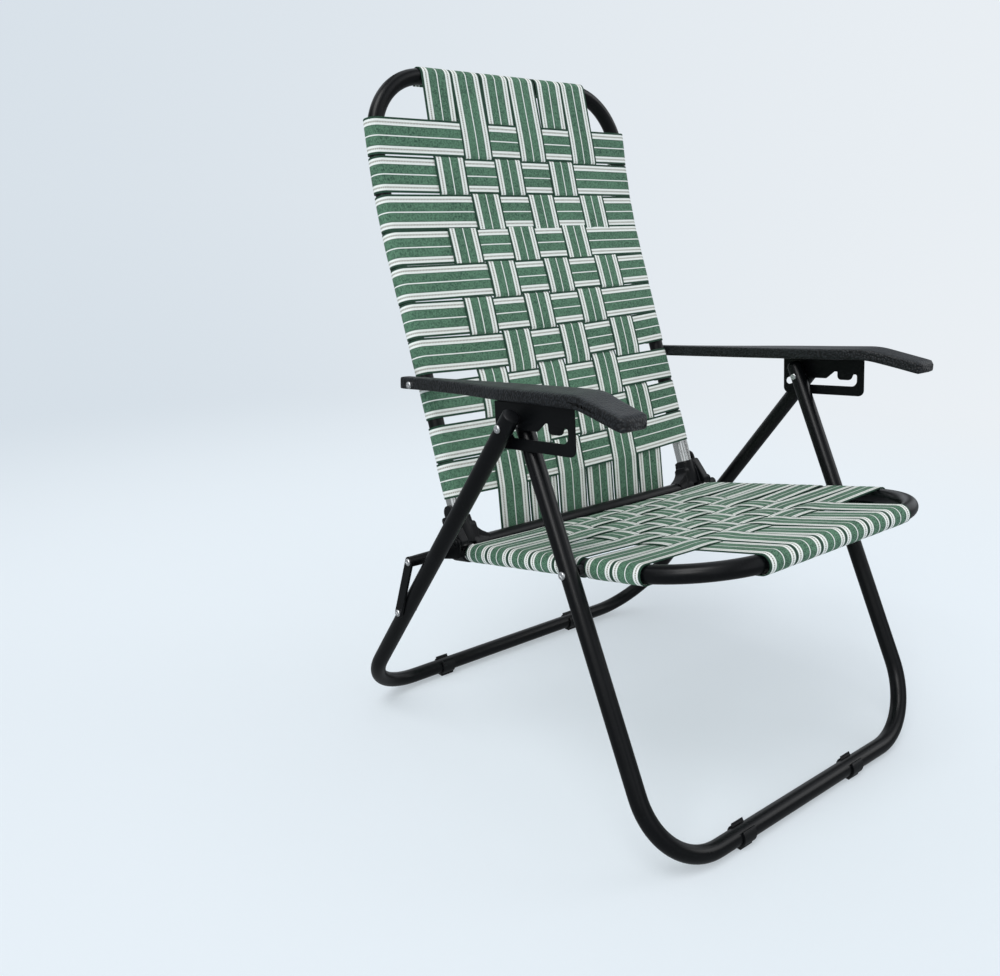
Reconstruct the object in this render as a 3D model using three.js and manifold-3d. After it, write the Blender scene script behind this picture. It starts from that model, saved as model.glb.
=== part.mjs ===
// Folding webbed lawn chair: a tube frame with woven strips, slotted arm plates and a fold link.
// Millimetres, +Z up. The front of the chair faces -Y, and +X is its right side seen from the front.
// A side place is a Vector2 of (y, z). Names ending in _left lie at -X.

import * as THREE from 'three';
import { mergeVertices } from 'three/addons/utils/BufferGeometryUtils.js';
import Module from 'manifold-3d';

const wasm = await Module();
wasm.setup();

// Stock and clearances
const tubeRadius = 12.7;
const tubeWall = 0.9;
const fitGap = 0.3;
const cutOverrun = 5;
const boltRadius = 3;
const headRadius = 6.3;
const headHeight = 3;
const nutRadius = 5.5;
const tubeSides = 12;
const roundSides = 12;
const boltSides = 8;
const cornerSteps = 5;
const bendSteps = 5;
const curveSegments = 4;
const clipSegments = 9;

// Leg frames: each bar runs across at the floor, and both legs meet in the common pin
const barHeight = 17;
const pinY = 290;
const pinHeight = 565;
const seatSpacerLength = 10.5;
const rollerLength = 7.9;
const rearBarY = 662.3;
const legCornerRadius = 112;
const frontLegEnd = 19;
const rearLegEnd = 21;

// Seat loop
const seatFrontY = -9.2;
const seatFrontHeight = 424.2;
const seatFall = degrees(11.93);
const seatHalfWidth = 280.4;
const seatCornerRadius = 137;
const seatBarRadius = 9.5;

// Back loop
const backFootAhead = 8.8;
const backFootOffset = 81.6;
const backInset = 8.4;
const backLean = degrees(22.68);
const backBend = degrees(10.2);
const backBendStart = 396;
const backBendRadius = 954;
const backTop = 681;
const backCornerRadius = 108;
const backTubeEnd = -60;
const footBarAt = -76.4;

// Pivots: distances along the lines of the back, the seat and the rear leg, and off the back's line
const hingeAt = -67.8;
const hingeOffset = 19.7;
const armPivotAt = 188.3;
const armPivotOffset = -4.4;
const armPivotRise = 38.49;
const linkTopBehindLeg = 28.46;
const linkFootDistance = 412.5;

// Half widths, each set out from the tube inside it
const frontHalfWidth = seatHalfWidth + 2 * tubeRadius + seatSpacerLength;
const rearHalfWidth = frontHalfWidth + 2 * tubeRadius + rollerLength;
const backHalfWidth = seatHalfWidth - backInset;

// Webbing
const webThickness = 1.4;
const webClearance = 0.4;
const webGap = 0.3;
const webTail = 12;
const wrapSteps = 7;
const footWrapSteps = 5;
const footWrapFrom = degrees(165);
const footWrapTo = degrees(290);
const barWrapFrom = degrees(60);
const wrapRadius = tubeRadius + webClearance + webThickness / 2;
const weaveHeight = wrapRadius + webClearance;
const weaveStep = (webThickness + webGap) / 2;
const crossWebWidth = 51;
const crossWebPitch = 59;
const longWebWidth = 56;
const longWebPitch = 64;
const longWebCount = 6;
const upperWebCount = 7;
const upperWebTop = 610;
const lowerWebCount = 3;
const lowerWebTop = 185;
const seatWebEndGap = 5.4;
const seatCrossGap = 1.8;
const seatLongWebWidth = 51;
const seatLongGap = 2;
const frontWebCount = 2;
const rearWebCount = 5;
const spacerGapHalf = 7;

// Arm pads and plates
const armPlateOffset = 32;
const plateThickness = 2;
const plateGap = 2;
const plateInner = frontHalfWidth + tubeRadius + plateGap;
const plateFront = 115;
const plateRear = 39;
const plateDepth = 31.8;
const plateCorner = 10;
const plateFlangeWidth = 13;
const slotRadius = 6;
const slotDrop = 10;
const slotFoldEndAt = -28.5;
const slotFoldEndHeight = -10.6;
const midNotchAt = 61;
const midNotchHeight = 1.7;
const frontNotchAt = 99.5;
const frontNotchHeight = 3.5;
const midNotchHalf = 4.8;
const midNotchSlope = 11.5;
const midNotchLip = -5;
const rollerRadius = 4;

// Link
const linkGap = 1.1;
const linkInner = rearHalfWidth + tubeRadius + linkGap;
const linkThickness = 2.5;
const linkHalfWidth = 8.5;
const linkSpacerRadius = 4.5;

// The seat's end fitting: a sleeve with a cap on the tube, and a bracket with the hinge eye and lug
const bracketGap = 5.5;
const bracketInner = seatHalfWidth + tubeRadius + bracketGap;
const bracketThickness = 4.4;
const bracketRadius = 6;
const sleeveRadius = 15.4;
const sleeveReach = 36;
const sleeveCap = 2;
const lugReach = 9.3;
const rearBarBeforeSleeve = 20;
const hingeEyeRadius = 8;
const lugRadius = 9;

// The back's foot casting, with distances along the back's line and offsets to its front
const flangeThickness = 4;
const flangeInner = bracketInner - 2 * fitGap - flangeThickness;
const castingReach = 32;
const castingBodyInset = 9;
const castingInner = backHalfWidth - castingReach;
const castingBodyOuter = backHalfWidth - castingBodyInset;
const castingSocketRadius = 16.2;
const castingTop = -24;
const castingShelf = -62;
const castingFront = 15;
const castingRear = -9;
const castingStep = 0.7;
const shelfCornerRadius = 3;
const footBarInset = 5;
const footBarEnd = castingBodyOuter - footBarInset;
const chromeWall = 0.9;
const chromeTop = 15;

// Feet and tube ends
const clipLength = 26;
const clipWall = 2.6;
const clipOpening = degrees(58);
const soleHalf = 8;
const frontClipX = [-152, 120];
const rearClipX = [-170, 154];
const plugFlange = 2.2;
const plugStem = 6;
const capShares = [
  { riseShare: 0, radiusShare: 1 },
  { riseShare: 0.35, radiusShare: 0.9 },
  { riseShare: 0.55, radiusShare: 0.6 },
];

// Arm pads: the plan at a few places from the rear end to the tip, as shares of length and width
const padThickness = 19;
const padRearReach = 26;
const padTipReach = 218.5;
const padKinkReach = 130;
const padInset = 11;
const padWidth = 76;
const padInnermost = backHalfWidth + padInset;
const screwSeatShare = 0.263;
const padTipDrop = degrees(8.5);
const padBevel = 4.5;
const padLowBevel = 1.8;
const armScrewSeat = padInnermost + screwSeatShare * padWidth;
const padShares = [
  { alongShare: 0, innerShare: 0.053, outerShare: 0.263, heightShare: 0.45 },
  { alongShare: 0.0057, innerShare: 0.053, outerShare: 0.263, heightShare: 0.8 },
  { alongShare: 0.0171, innerShare: 0.053, outerShare: 0.263, heightShare: 1 },
  { alongShare: 0.1213, innerShare: 0.053, outerShare: 0.27, heightShare: 1 },
  { alongShare: 0.2445, innerShare: 0.039, outerShare: 0.342, heightShare: 1 },
  { alongShare: 0.3773, innerShare: 0.013, outerShare: 0.487, heightShare: 1 },
  { alongShare: 0.5194, innerShare: 0, outerShare: 0.684, heightShare: 1 },
  { alongShare: 0.6806, innerShare: 0.013, outerShare: 0.789, heightShare: 1 },
  { alongShare: 0.7659, innerShare: 0.066, outerShare: 0.855, heightShare: 1 },
  { alongShare: 0.8322, innerShare: 0.158, outerShare: 0.895, heightShare: 1 },
  { alongShare: 0.8891, innerShare: 0.263, outerShare: 0.934, heightShare: 1 },
  { alongShare: 0.9763, innerShare: 0.368, outerShare: 1, heightShare: 1 },
  { alongShare: 0.9915, innerShare: 0.395, outerShare: 0.987, heightShare: 0.95 },
  { alongShare: 1, innerShare: 0.461, outerShare: 0.921, heightShare: 0.75 },
];

const steel = new THREE.MeshStandardMaterial({ color: 0x14161a, roughness: 0.35, metalness: 0.4 });
const sheetSteel = new THREE.MeshStandardMaterial({ color: 0x0e0f12, roughness: 0.5, metalness: 0.4 });
const plastic = new THREE.MeshStandardMaterial({ color: 0x22242a, roughness: 0.7, metalness: 0 });
const chrome = new THREE.MeshStandardMaterial({ color: 0xc8ccd0, roughness: 0.15, metalness: 1 });
const zinc = new THREE.MeshStandardMaterial({ color: 0xb8bcc0, roughness: 0.3, metalness: 0.9 });
const webbing = new THREE.MeshStandardMaterial({ color: 0x4f8266, roughness: 0.85, metalness: 0 });

function side(y, z) {
  return new THREE.Vector2(y, z);
}

function degrees(value) {
  return THREE.MathUtils.degToRad(value);
}

// A point at height x off the side plane
function at(x, place) {
  return new THREE.Vector3(x, place.x, place.y);
}

// A straight line in the side plane, with a distance along it and one off it
class SideLine {
  constructor(origin, angle) {
    this.origin = origin;
    this.along = side(Math.cos(angle), Math.sin(angle));
    this.off = side(-this.along.y, this.along.x);
  }

  place(distance, offset = 0) {
    return this.origin.clone().addScaledVector(this.along, distance).addScaledVector(this.off, offset);
  }

  // Distance and offset of a place, as a Vector2
  measure(place) {
    const reach = place.clone().sub(this.origin);
    return side(reach.dot(this.along), reach.dot(this.off));
  }
}

const pinPlace = side(pinY, pinHeight);
const frontLegLine = lineThrough(side(0, barHeight), pinPlace);
const rearLegLine = lineThrough(side(rearBarY, barHeight), pinPlace);
const seatLine = new SideLine(side(seatFrontY, seatFrontHeight), -seatFall);
const legLength = pinPlace.distanceTo(side(0, barHeight));
const rearLegLength = pinPlace.distanceTo(side(rearBarY, barHeight));
const seatPivot = crossing(frontLegLine, seatLine);
const linkFoot = rearLegLine.place(rearLegLength - linkFootDistance);
const behindLeg = lineThrough(rearLegLine.place(0, -linkTopBehindLeg),
  rearLegLine.place(rearLegLength, -linkTopBehindLeg));
const linkTop = crossing(seatLine, behindLeg);
const linkTopAt = seatLine.measure(linkTop).x;
const backLine = new SideLine(seatLine.place(linkTopAt - backFootAhead, backFootOffset),
  Math.PI / 2 - backLean);
const hingePlace = backLine.place(hingeAt, hingeOffset);
const armPivot = backLine.place(armPivotAt, armPivotOffset);
const armReach = armPivot.clone().sub(pinPlace);
const armSlope = Math.asin(armPivotRise / armReach.length()) - Math.atan2(armReach.y, armReach.x);
const armLine = new SideLine(pinPlace, Math.PI - armSlope);

const padRearY = armPivot.x + padRearReach;
const padTipY = pinY - padTipReach;
const padKinkY = pinY - padKinkReach;

// Lengths along the seat's line
const seatTubeLength = linkTopAt - lugReach;
const sleeveFrom = seatTubeLength - sleeveReach;
const sleeveTo = seatTubeLength + sleeveCap;
const seatBarAt = sleeveFrom - rearBarBeforeSleeve;
const seatPivotAt = seatLine.measure(seatPivot).x;
const seatWebPitch = (sleeveFrom - seatWebEndGap - seatPivotAt - spacerGapHalf) / rearWebCount;
const seatWebWidth = seatWebPitch - seatCrossGap;
const seatLongPitch = seatLongWebWidth + seatLongGap;

function lineThrough(from, to) {
  const reach = to.clone().sub(from);
  return new SideLine(from, Math.atan2(reach.y, reach.x));
}

function crossing(first, second) {
  const reach = second.origin.clone().sub(first.origin);
  return first.place(reach.cross(second.along) / first.along.cross(second.along));
}

// The back's axis line: straight, then a bend towards the front, then straight again
function backFrame(distance) {
  const turn = THREE.MathUtils.clamp((distance - backBendStart) / backBendRadius, 0, backBend);
  const lean = backLean - turn;
  const along = side(Math.sin(lean), Math.cos(lean));
  const front = side(-Math.cos(lean), Math.sin(lean));
  const place = backLine.place(Math.min(distance, backBendStart));
  if (turn > 0) {
    place.x += backBendRadius * (Math.cos(lean) - Math.cos(backLean));
    place.y += backBendRadius * (Math.sin(backLean) - Math.sin(lean));
  }
  const rest = distance - backBendStart - turn * backBendRadius;
  if (rest > 0) place.addScaledVector(along, rest);
  return { place, along, front };
}

// Solids

function fromGeometry(geometry) {
  geometry.deleteAttribute('normal');
  geometry.deleteAttribute('uv');
  const merged = mergeVertices(geometry);
  const vertProperties = new Float32Array(merged.attributes.position.array);
  const triVerts = new Uint32Array(merged.index.array);
  return new wasm.Manifold(new wasm.Mesh({ numProp: 3, vertProperties, triVerts }));
}

function toGeometry(solid) {
  const mesh = solid.getMesh();
  const geometry = new THREE.BufferGeometry();
  geometry.setAttribute('position', new THREE.BufferAttribute(mesh.vertProperties, 3));
  geometry.setIndex(new THREE.BufferAttribute(mesh.triVerts, 1));
  geometry.computeVertexNormals();
  return geometry;
}

function join(...solids) {
  return solids.reduce((whole, solid) => whole.add(solid));
}

function cut(solid, ...tools) {
  return tools.reduce((whole, tool) => whole.subtract(tool), solid);
}

// A closed solid through rings of equal count, with flat ends
function loft(rings) {
  const count = rings[0].length;
  const vertProperties = new Float32Array(rings.flat().flatMap((point) => point.toArray()));
  const faces = [];
  for (let ring = 0; ring + 1 < rings.length; ring++) {
    for (let k = 0; k < count; k++) {
      const near = ring * count + k;
      const next = ring * count + ((k + 1) % count);
      faces.push([near, next, next + count], [near, next + count, near + count]);
    }
  }
  const last = (rings.length - 1) * count;
  for (let k = 1; k + 1 < count; k++) {
    faces.push([0, k + 1, k], [last, last + k, last + k + 1]);
  }
  if (volumeOf(vertProperties, faces) < 0) faces.forEach((face) => face.reverse());
  const triVerts = new Uint32Array(faces.flat());
  return new wasm.Manifold(new wasm.Mesh({ numProp: 3, vertProperties, triVerts }));
}

function volumeOf(points, faces) {
  const corner = (index) => new THREE.Vector3().fromArray(points, 3 * index);
  return faces.reduce((sum, [a, b, c]) => sum + corner(a).dot(corner(b).cross(corner(c))), 0);
}

// A station of a tube: its middle, the way it runs and a normal square to that
function station(point, along, normal) {
  return { point, along: along.clone().normalize(), normal: normal.clone().normalize() };
}

function roundRing({ point, along, normal }, radius, sides = tubeSides) {
  const across = new THREE.Vector3().crossVectors(along, normal);
  return Array.from({ length: sides }, (_, k) => {
    const angle = (2 * Math.PI * (k + 0.5)) / sides;
    return point.clone()
      .addScaledVector(normal, radius * Math.cos(angle))
      .addScaledVector(across, radius * Math.sin(angle));
  });
}

function hollowTube(stations, radius, wall = tubeWall) {
  const bore = stations.map((entry) => ({ ...entry, point: entry.point.clone() }));
  bore[0].point.addScaledVector(bore[0].along, -cutOverrun);
  bore[bore.length - 1].point.addScaledVector(bore[bore.length - 1].along, cutOverrun);
  const outer = loft(stations.map((entry) => roundRing(entry, radius)));
  return outer.subtract(loft(bore.map((entry) => roundRing(entry, radius - wall))));
}

// A round bar along X
function barAlongX(place, from, to, radius, sides = roundSides) {
  const geometry = new THREE.CylinderGeometry(radius, radius, Math.abs(to - from), sides);
  geometry.rotateZ(Math.PI / 2);
  geometry.translate((from + to) / 2, place.x, place.y);
  return fromGeometry(geometry);
}

// A straight cross tube, open at both ends.
function hollowBar(place, half, radius) {
  const reach = half + cutOverrun;
  const core = barAlongX(place, -reach, reach, radius - tubeWall, tubeSides);
  return barAlongX(place, -half, half, radius, tubeSides).subtract(core);
}

// A round bar in the side plane, along a line
function barInSide(line, from, to, x, radius, sides = roundSides) {
  const along = new THREE.Vector3(0, line.along.x, line.along.y);
  const normal = new THREE.Vector3(1, 0, 0);
  const ends = [from, to].map((distance) => station(at(x, line.place(distance)), along, normal));
  return loft(ends.map((entry) => roundRing(entry, radius, sides)));
}

// A flat piece: an outline in the side plane, between two heights along X
function sheet(shape, from, to, segments = curveSegments) {
  const depth = Math.abs(to - from);
  const options = { depth, bevelEnabled: false, curveSegments: segments };
  const geometry = new THREE.ExtrudeGeometry(shape, options);
  const near = Math.min(from, to);
  geometry.applyMatrix4(new THREE.Matrix4().set(0, 0, 1, near, 1, 0, 0, 0, 0, 1, 0, 0, 0, 0, 0, 1));
  return fromGeometry(geometry);
}

// The outline of a belt run round circles, given as { place, radius } in order, anticlockwise
function beltShape(circles) {
  const shape = new THREE.Shape();
  circles.forEach((circle, index) => {
    const before = circles[(index + circles.length - 1) % circles.length];
    const after = circles[(index + 1) % circles.length];
    const start = tangentAngle(before, circle);
    let end = tangentAngle(circle, after);
    if (end < start) end += 2 * Math.PI;
    shape.absarc(circle.place.x, circle.place.y, circle.radius, start, end, false);
  });
  return shape;
}

function tangentAngle(from, to) {
  const reach = to.place.clone().sub(from.place);
  return reach.angle() - Math.PI / 2 - Math.asin((to.radius - from.radius) / reach.length());
}

function stadium(line, from, to, radius) {
  return beltShape([{ place: line.place(from), radius }, { place: line.place(to), radius }]);
}

function mirrored(solid) {
  return solid.mirror([1, 0, 0]);
}

// Frame pieces

// Stations of a U frame in a slanted plane: up one leg, round two corners, down the other
function loopStations(line, half, radius, reach) {
  const along = new THREE.Vector3(0, line.along.x, line.along.y);
  const normal = new THREE.Vector3(0, line.off.x, line.off.y);
  const across = new THREE.Vector3(1, 0, 0);
  const stations = [station(at(-half, line.place(reach)), along.clone().negate(), normal)];
  for (const sign of [-1, 1]) {
    for (let step = 0; step <= cornerSteps; step++) {
      const share = sign < 0 ? step / cornerSteps : 1 - step / cornerSteps;
      const turn = (share * Math.PI) / 2;
      const x = sign * (half - radius + radius * Math.cos(turn));
      const point = at(x, line.place(radius - radius * Math.sin(turn)));
      const heading = across.clone().multiplyScalar(Math.sin(turn));
      heading.addScaledVector(along, sign * Math.cos(turn));
      stations.push(station(point, heading, normal));
    }
  }
  stations.push(station(at(half, line.place(reach)), along, normal));
  return stations;
}

function bore(place, half, radius = boltRadius + fitGap) {
  const reach = tubeRadius + cutOverrun;
  return join(
    barAlongX(place, -half - reach, -half + reach, radius, boltSides),
    barAlongX(place, half - reach, half + reach, radius, boltSides),
  );
}

// A tube's closed, rounded end
function endCap(line, distance, x) {
  const along = new THREE.Vector3(0, line.along.x, line.along.y);
  const ring = (reach, share) => (
    roundRing(station(at(x, line.place(reach)), along, new THREE.Vector3(1, 0, 0)), tubeRadius * share));
  const dome = capShares.map(({ riseShare, radiusShare }) => (
    ring(distance + riseShare * tubeRadius, radiusShare)));
  return loft([ring(distance - 2 * tubeWall, 1), ...dome]);
}

function frontLegTube() {
  const reach = legLength + frontLegEnd;
  const tube = hollowTube(loopStations(frontLegLine, frontHalfWidth, legCornerRadius, reach), tubeRadius);
  const caps = [-1, 1].map((sign) => endCap(frontLegLine, reach - tubeWall, sign * frontHalfWidth));
  return cut(join(tube, ...caps), bore(pinPlace, frontHalfWidth), bore(seatPivot, frontHalfWidth));
}

function rearLegTube() {
  const reach = rearLegLength + rearLegEnd;
  const tube = hollowTube(loopStations(rearLegLine, rearHalfWidth, legCornerRadius, reach), tubeRadius);
  return cut(tube, bore(pinPlace, rearHalfWidth), bore(linkFoot, rearHalfWidth));
}

function seatTube() {
  const stations = loopStations(seatLine, seatHalfWidth, seatCornerRadius, seatTubeLength);
  return cut(hollowTube(stations, tubeRadius), bore(seatPivot, seatHalfWidth));
}

function seatRearBar() {
  const half = seatHalfWidth - tubeRadius - fitGap;
  return hollowBar(seatLine.place(seatBarAt), half, seatBarRadius);
}

function backTube() {
  const across = new THREE.Vector3(1, 0, 0);
  const bendEnd = backBendStart + backBend * backBendRadius;
  const bend = Array.from({ length: bendSteps + 1 }, (_, step) => (
    THREE.MathUtils.lerp(backBendStart, bendEnd, step / bendSteps)));
  const rise = [backTubeEnd, ...bend];
  const sideStations = (sign) => rise.map((distance) => {
    const { place, along, front } = backFrame(distance);
    const heading = at(0, along).multiplyScalar(-sign);
    return station(at(sign * backHalfWidth, place), heading, at(0, front));
  });
  const corner = (sign) => Array.from({ length: cornerSteps + 1 }, (_, step) => {
    const turn = (step / cornerSteps) * (Math.PI / 2);
    const { place, along, front } = backFrame(backTop - backCornerRadius * (1 - Math.sin(turn)));
    const x = sign * (backHalfWidth - backCornerRadius * (1 - Math.cos(turn)));
    const heading = across.clone().multiplyScalar(Math.sin(turn));
    heading.addScaledVector(at(0, along), -sign * Math.cos(turn));
    return station(at(x, place), heading, at(0, front));
  });
  const left = [...sideStations(-1), ...corner(-1)];
  const right = [...sideStations(1), ...corner(1)].reverse();
  const bores = bore(armPivot, backHalfWidth);
  return cut(hollowTube([...left, ...right], tubeRadius), bores);
}

// Fasteners and fittings, made for the +X side

function headedPin(place, from, to, inward = nutRadius) {
  return join(
    barAlongX(place, from, to, boltRadius, boltSides),
    barAlongX(place, to - fitGap, to + headHeight, headRadius, boltSides),
    barAlongX(place, from - headHeight, from + fitGap, inward, boltSides),
  );
}

function commonPin() {
  const inner = frontHalfWidth - tubeRadius - fitGap;
  const outer = rearHalfWidth + tubeRadius + fitGap;
  const rollerFrom = frontHalfWidth + tubeRadius + fitGap;
  const rollerTo = rearHalfWidth - tubeRadius - fitGap;
  return join(headedPin(pinPlace, inner, outer), barAlongX(pinPlace, rollerFrom, rollerTo, rollerRadius));
}

function seatPivotBolt() {
  const outer = frontHalfWidth + tubeRadius + fitGap;
  const inner = seatHalfWidth - tubeRadius - fitGap;
  const spacerFrom = seatHalfWidth + tubeRadius + fitGap;
  const spacerTo = frontHalfWidth - tubeRadius - fitGap;
  const spacer = barAlongX(seatPivot, spacerFrom, spacerTo, spacerGapHalf - 2 * fitGap);
  return join(headedPin(seatPivot, inner, outer), spacer);
}

function linkPivotBolt() {
  const inner = rearHalfWidth - tubeRadius - fitGap;
  const outer = linkInner + linkThickness + fitGap;
  return headedPin(linkFoot, inner, outer);
}

// The strap from the rear leg up to the seat's end lug, with its upper bolt and long spacer
function foldLink() {
  const outline = beltShape([
    { place: linkFoot, radius: linkHalfWidth },
    { place: linkTop, radius: linkHalfWidth },
  ]);
  const strap = sheet(outline, linkInner, linkInner + linkThickness);
  const holeRadius = boltRadius + fitGap;
  const hole = barAlongX(linkFoot, linkInner - cutOverrun, linkInner + cutOverrun, holeRadius, boltSides);
  const spacerFrom = bracketInner + bracketThickness + fitGap;
  const spacer = barAlongX(linkTop, spacerFrom, linkInner + fitGap, linkSpacerRadius, boltSides);
  const headFrom = linkInner + linkThickness - fitGap;
  const head = barAlongX(linkTop, headFrom, linkInner + linkThickness + headHeight, headRadius, boltSides);
  return join(cut(strap, hole), spacer, head);
}

// The seat's end fitting: a sleeve with a cap on the tube, and a bracket with the hinge eye and lug
function seatEndFitting() {
  const sleeve = barInSide(seatLine, sleeveFrom, sleeveTo, seatHalfWidth, sleeveRadius);
  const socket = barInSide(seatLine, sleeveFrom - cutOverrun, seatTubeLength + fitGap, seatHalfWidth,
    tubeRadius + fitGap);
  const foot = seatLine.place(sleeveFrom + bracketRadius);
  const outline = beltShape([
    { place: foot, radius: bracketRadius },
    { place: linkTop, radius: lugRadius },
    { place: hingePlace, radius: hingeEyeRadius },
  ]);
  const bracket = sheet(outline, bracketInner, bracketInner + bracketThickness);
  const ridge = stadium(seatLine, sleeveFrom + bracketRadius, sleeveTo - bracketRadius,
    bracketRadius - castingStep);
  const bridge = sheet(ridge, seatHalfWidth + tubeRadius + fitGap, bracketInner + bracketThickness / 2);
  const hingeHead = flangeInner - fitGap;
  const pin = barAlongX(hingePlace, hingeHead, bracketInner + fitGap, boltRadius, boltSides);
  const innerHead = barAlongX(hingePlace, hingeHead - headHeight, hingeHead, nutRadius - fitGap, boltSides);
  const outerFrom = bracketInner + bracketThickness - fitGap;
  const outerHead = barAlongX(hingePlace, outerFrom, outerFrom + headHeight, headRadius, boltSides);
  return join(cut(join(sleeve, bridge), socket), bracket, pin, innerHead, outerHead);
}

// The back's foot casting: a socket for the side tube, one for the cross bar, and the hinge flange
// A place by its distance along the back's line and its offset to the front
function backFront(distance, offset) {
  return backLine.place(distance, offset);
}

// Round corners of the casting's shelf over the seat tube, set in by a step
function shelfCorners(inset) {
  const reach = shelfCornerRadius + inset;
  return [
    backFront(castingShelf + reach, castingRear + reach),
    backFront(castingTop - castingStep - reach, castingRear + reach),
    backFront(castingTop - castingStep - reach, castingFront - reach),
    backFront(castingShelf + reach, castingFront - reach),
  ].map((place) => ({ place, radius: shelfCornerRadius }));
}

function hingeCasting() {
  const upright = barInSide(backLine, castingShelf, castingTop, backHalfWidth, castingSocketRadius);
  const footPlace = backLine.place(footBarAt);
  const footSocket = barAlongX(footPlace, castingInner, castingBodyOuter, castingSocketRadius);
  const [low, rearTop, frontTop, front] = shelfCorners(castingStep);
  const foot = { place: footPlace, radius: castingSocketRadius - castingStep };
  const body = sheet(beltShape([foot, rearTop, frontTop]), castingBodyOuter - tubeRadius,
    castingBodyOuter - castingStep);
  const bridge = sheet(beltShape([low, rearTop, frontTop, front]), castingBodyOuter - 2 * castingStep,
    flangeInner + castingStep);
  const eyeCircle = { place: hingePlace, radius: hingeEyeRadius };
  const flange = sheet(beltShape([...shelfCorners(0).slice(0, 3), eyeCircle]), flangeInner,
    flangeInner + flangeThickness);
  const tubeSocket = barInSide(backLine, backTubeEnd - fitGap, castingTop + cutOverrun, backHalfWidth,
    tubeRadius + fitGap);
  const barSocket = barAlongX(footPlace, castingInner - cutOverrun, footBarEnd + fitGap, tubeRadius + fitGap);
  const eye = barAlongX(hingePlace, flangeInner - cutOverrun, flangeInner + 2 * cutOverrun,
    boltRadius + fitGap, boltSides);
  return cut(join(upright, footSocket, body, bridge, flange), tubeSocket, barSocket, eye);
}

function chromeSleeve() {
  const inner = tubeRadius + fitGap;
  const sleeve = barInSide(backLine, castingTop + fitGap, chromeTop, backHalfWidth, inner + chromeWall);
  const hole = barInSide(backLine, castingTop - cutOverrun, chromeTop + cutOverrun, backHalfWidth, inner);
  return sleeve.subtract(hole);
}

// A spring clip round a floor bar, with a flat sole on the floor
function footClip(line, x) {
  const inner = tubeRadius + fitGap;
  const outer = inner + clipWall;
  const centre = line.place(0);
  const shape = new THREE.Shape();
  const startAngle = Math.PI / 2 + clipOpening / 2;
  const endAngle = Math.PI / 2 - clipOpening / 2 + 2 * Math.PI;
  const soleAngle = Math.asin(soleHalf / outer);
  shape.absarc(centre.x, centre.y, outer, startAngle, 1.5 * Math.PI - soleAngle, false);
  shape.lineTo(centre.x - soleHalf, 0);
  shape.lineTo(centre.x + soleHalf, 0);
  shape.absarc(centre.x, centre.y, outer, 1.5 * Math.PI + soleAngle, endAngle, false);
  shape.absarc(centre.x, centre.y, inner, endAngle, startAngle, true);
  return sheet(shape, x - clipLength / 2, x + clipLength / 2, clipSegments);
}

function legPlug() {
  const distance = rearLegLength + rearLegEnd;
  const flange = barInSide(rearLegLine, distance + fitGap, distance + plugFlange, rearHalfWidth, tubeRadius,
    tubeSides);
  const stem = barInSide(rearLegLine, distance - plugStem, distance + 2 * fitGap, rearHalfWidth,
    tubeRadius - tubeWall - 2 * fitGap, tubeSides);
  return join(flange, stem);
}

// Arms

function padUnderside(y) {
  const flatY = Math.max(y, padKinkY);
  const distance = (pinPlace.x + armPlateOffset * Math.sin(armSlope) - flatY) / Math.cos(armSlope);
  const flat = armLine.place(distance, -armPlateOffset);
  return flat.y - Math.max(padKinkY - y, 0) * Math.tan(padTipDrop);
}

function padRing({ alongShare, innerShare, outerShare, heightShare }) {
  const y = THREE.MathUtils.lerp(padRearY, padTipY, alongShare);
  const inner = padInnermost + innerShare * padWidth;
  const outer = padInnermost + outerShare * padWidth;
  const middle = padUnderside(y) + padThickness / 2;
  const high = middle + (padThickness / 2) * heightShare;
  const low = middle - (padThickness / 2) * heightShare;
  return [
    [inner, low + padLowBevel], [inner + padLowBevel, low],
    [outer - padLowBevel, low], [outer, low + padLowBevel],
    [outer, high - padBevel], [outer - padBevel, high],
    [inner + padBevel, high], [inner, high - padBevel],
  ].map(([x, z]) => new THREE.Vector3(x, y, z));
}

function armPad() {
  const pad = loft(padShares.map(padRing));
  const inner = backHalfWidth - tubeRadius - fitGap;
  const headFrom = armScrewSeat - headHeight;
  const pin = barAlongX(armPivot, inner, headFrom, boltRadius, boltSides);
  const nut = barAlongX(armPivot, inner - headHeight, inner + fitGap, nutRadius, boltSides);
  const head = barAlongX(armPivot, headFrom, armScrewSeat + headHeight, headRadius, boltSides);
  return join(pad, pin, nut, head);
}

function plateOutline() {
  const top = armPlateOffset - fitGap;
  const shape = new THREE.Shape();
  const corner = (distance, offset) => armLine.place(distance, -offset);
  const start = corner(-plateRear, top);
  shape.moveTo(start.x, start.y);
  for (const [distance, step, turnFrom] of [[-plateRear, 1, 0], [plateFront, -1, 1]]) {
    for (let k = 0; k <= curveSegments; k++) {
      const turn = ((turnFrom + k / curveSegments) * Math.PI) / 2;
      const round = corner(
        distance + step * plateCorner - plateCorner * Math.cos(turn),
        -plateDepth + plateCorner - plateCorner * Math.sin(turn),
      );
      shape.lineTo(round.x, round.y);
    }
  }
  const end = corner(plateFront, top);
  shape.lineTo(end.x, end.y);
  return shape;
}

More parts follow.
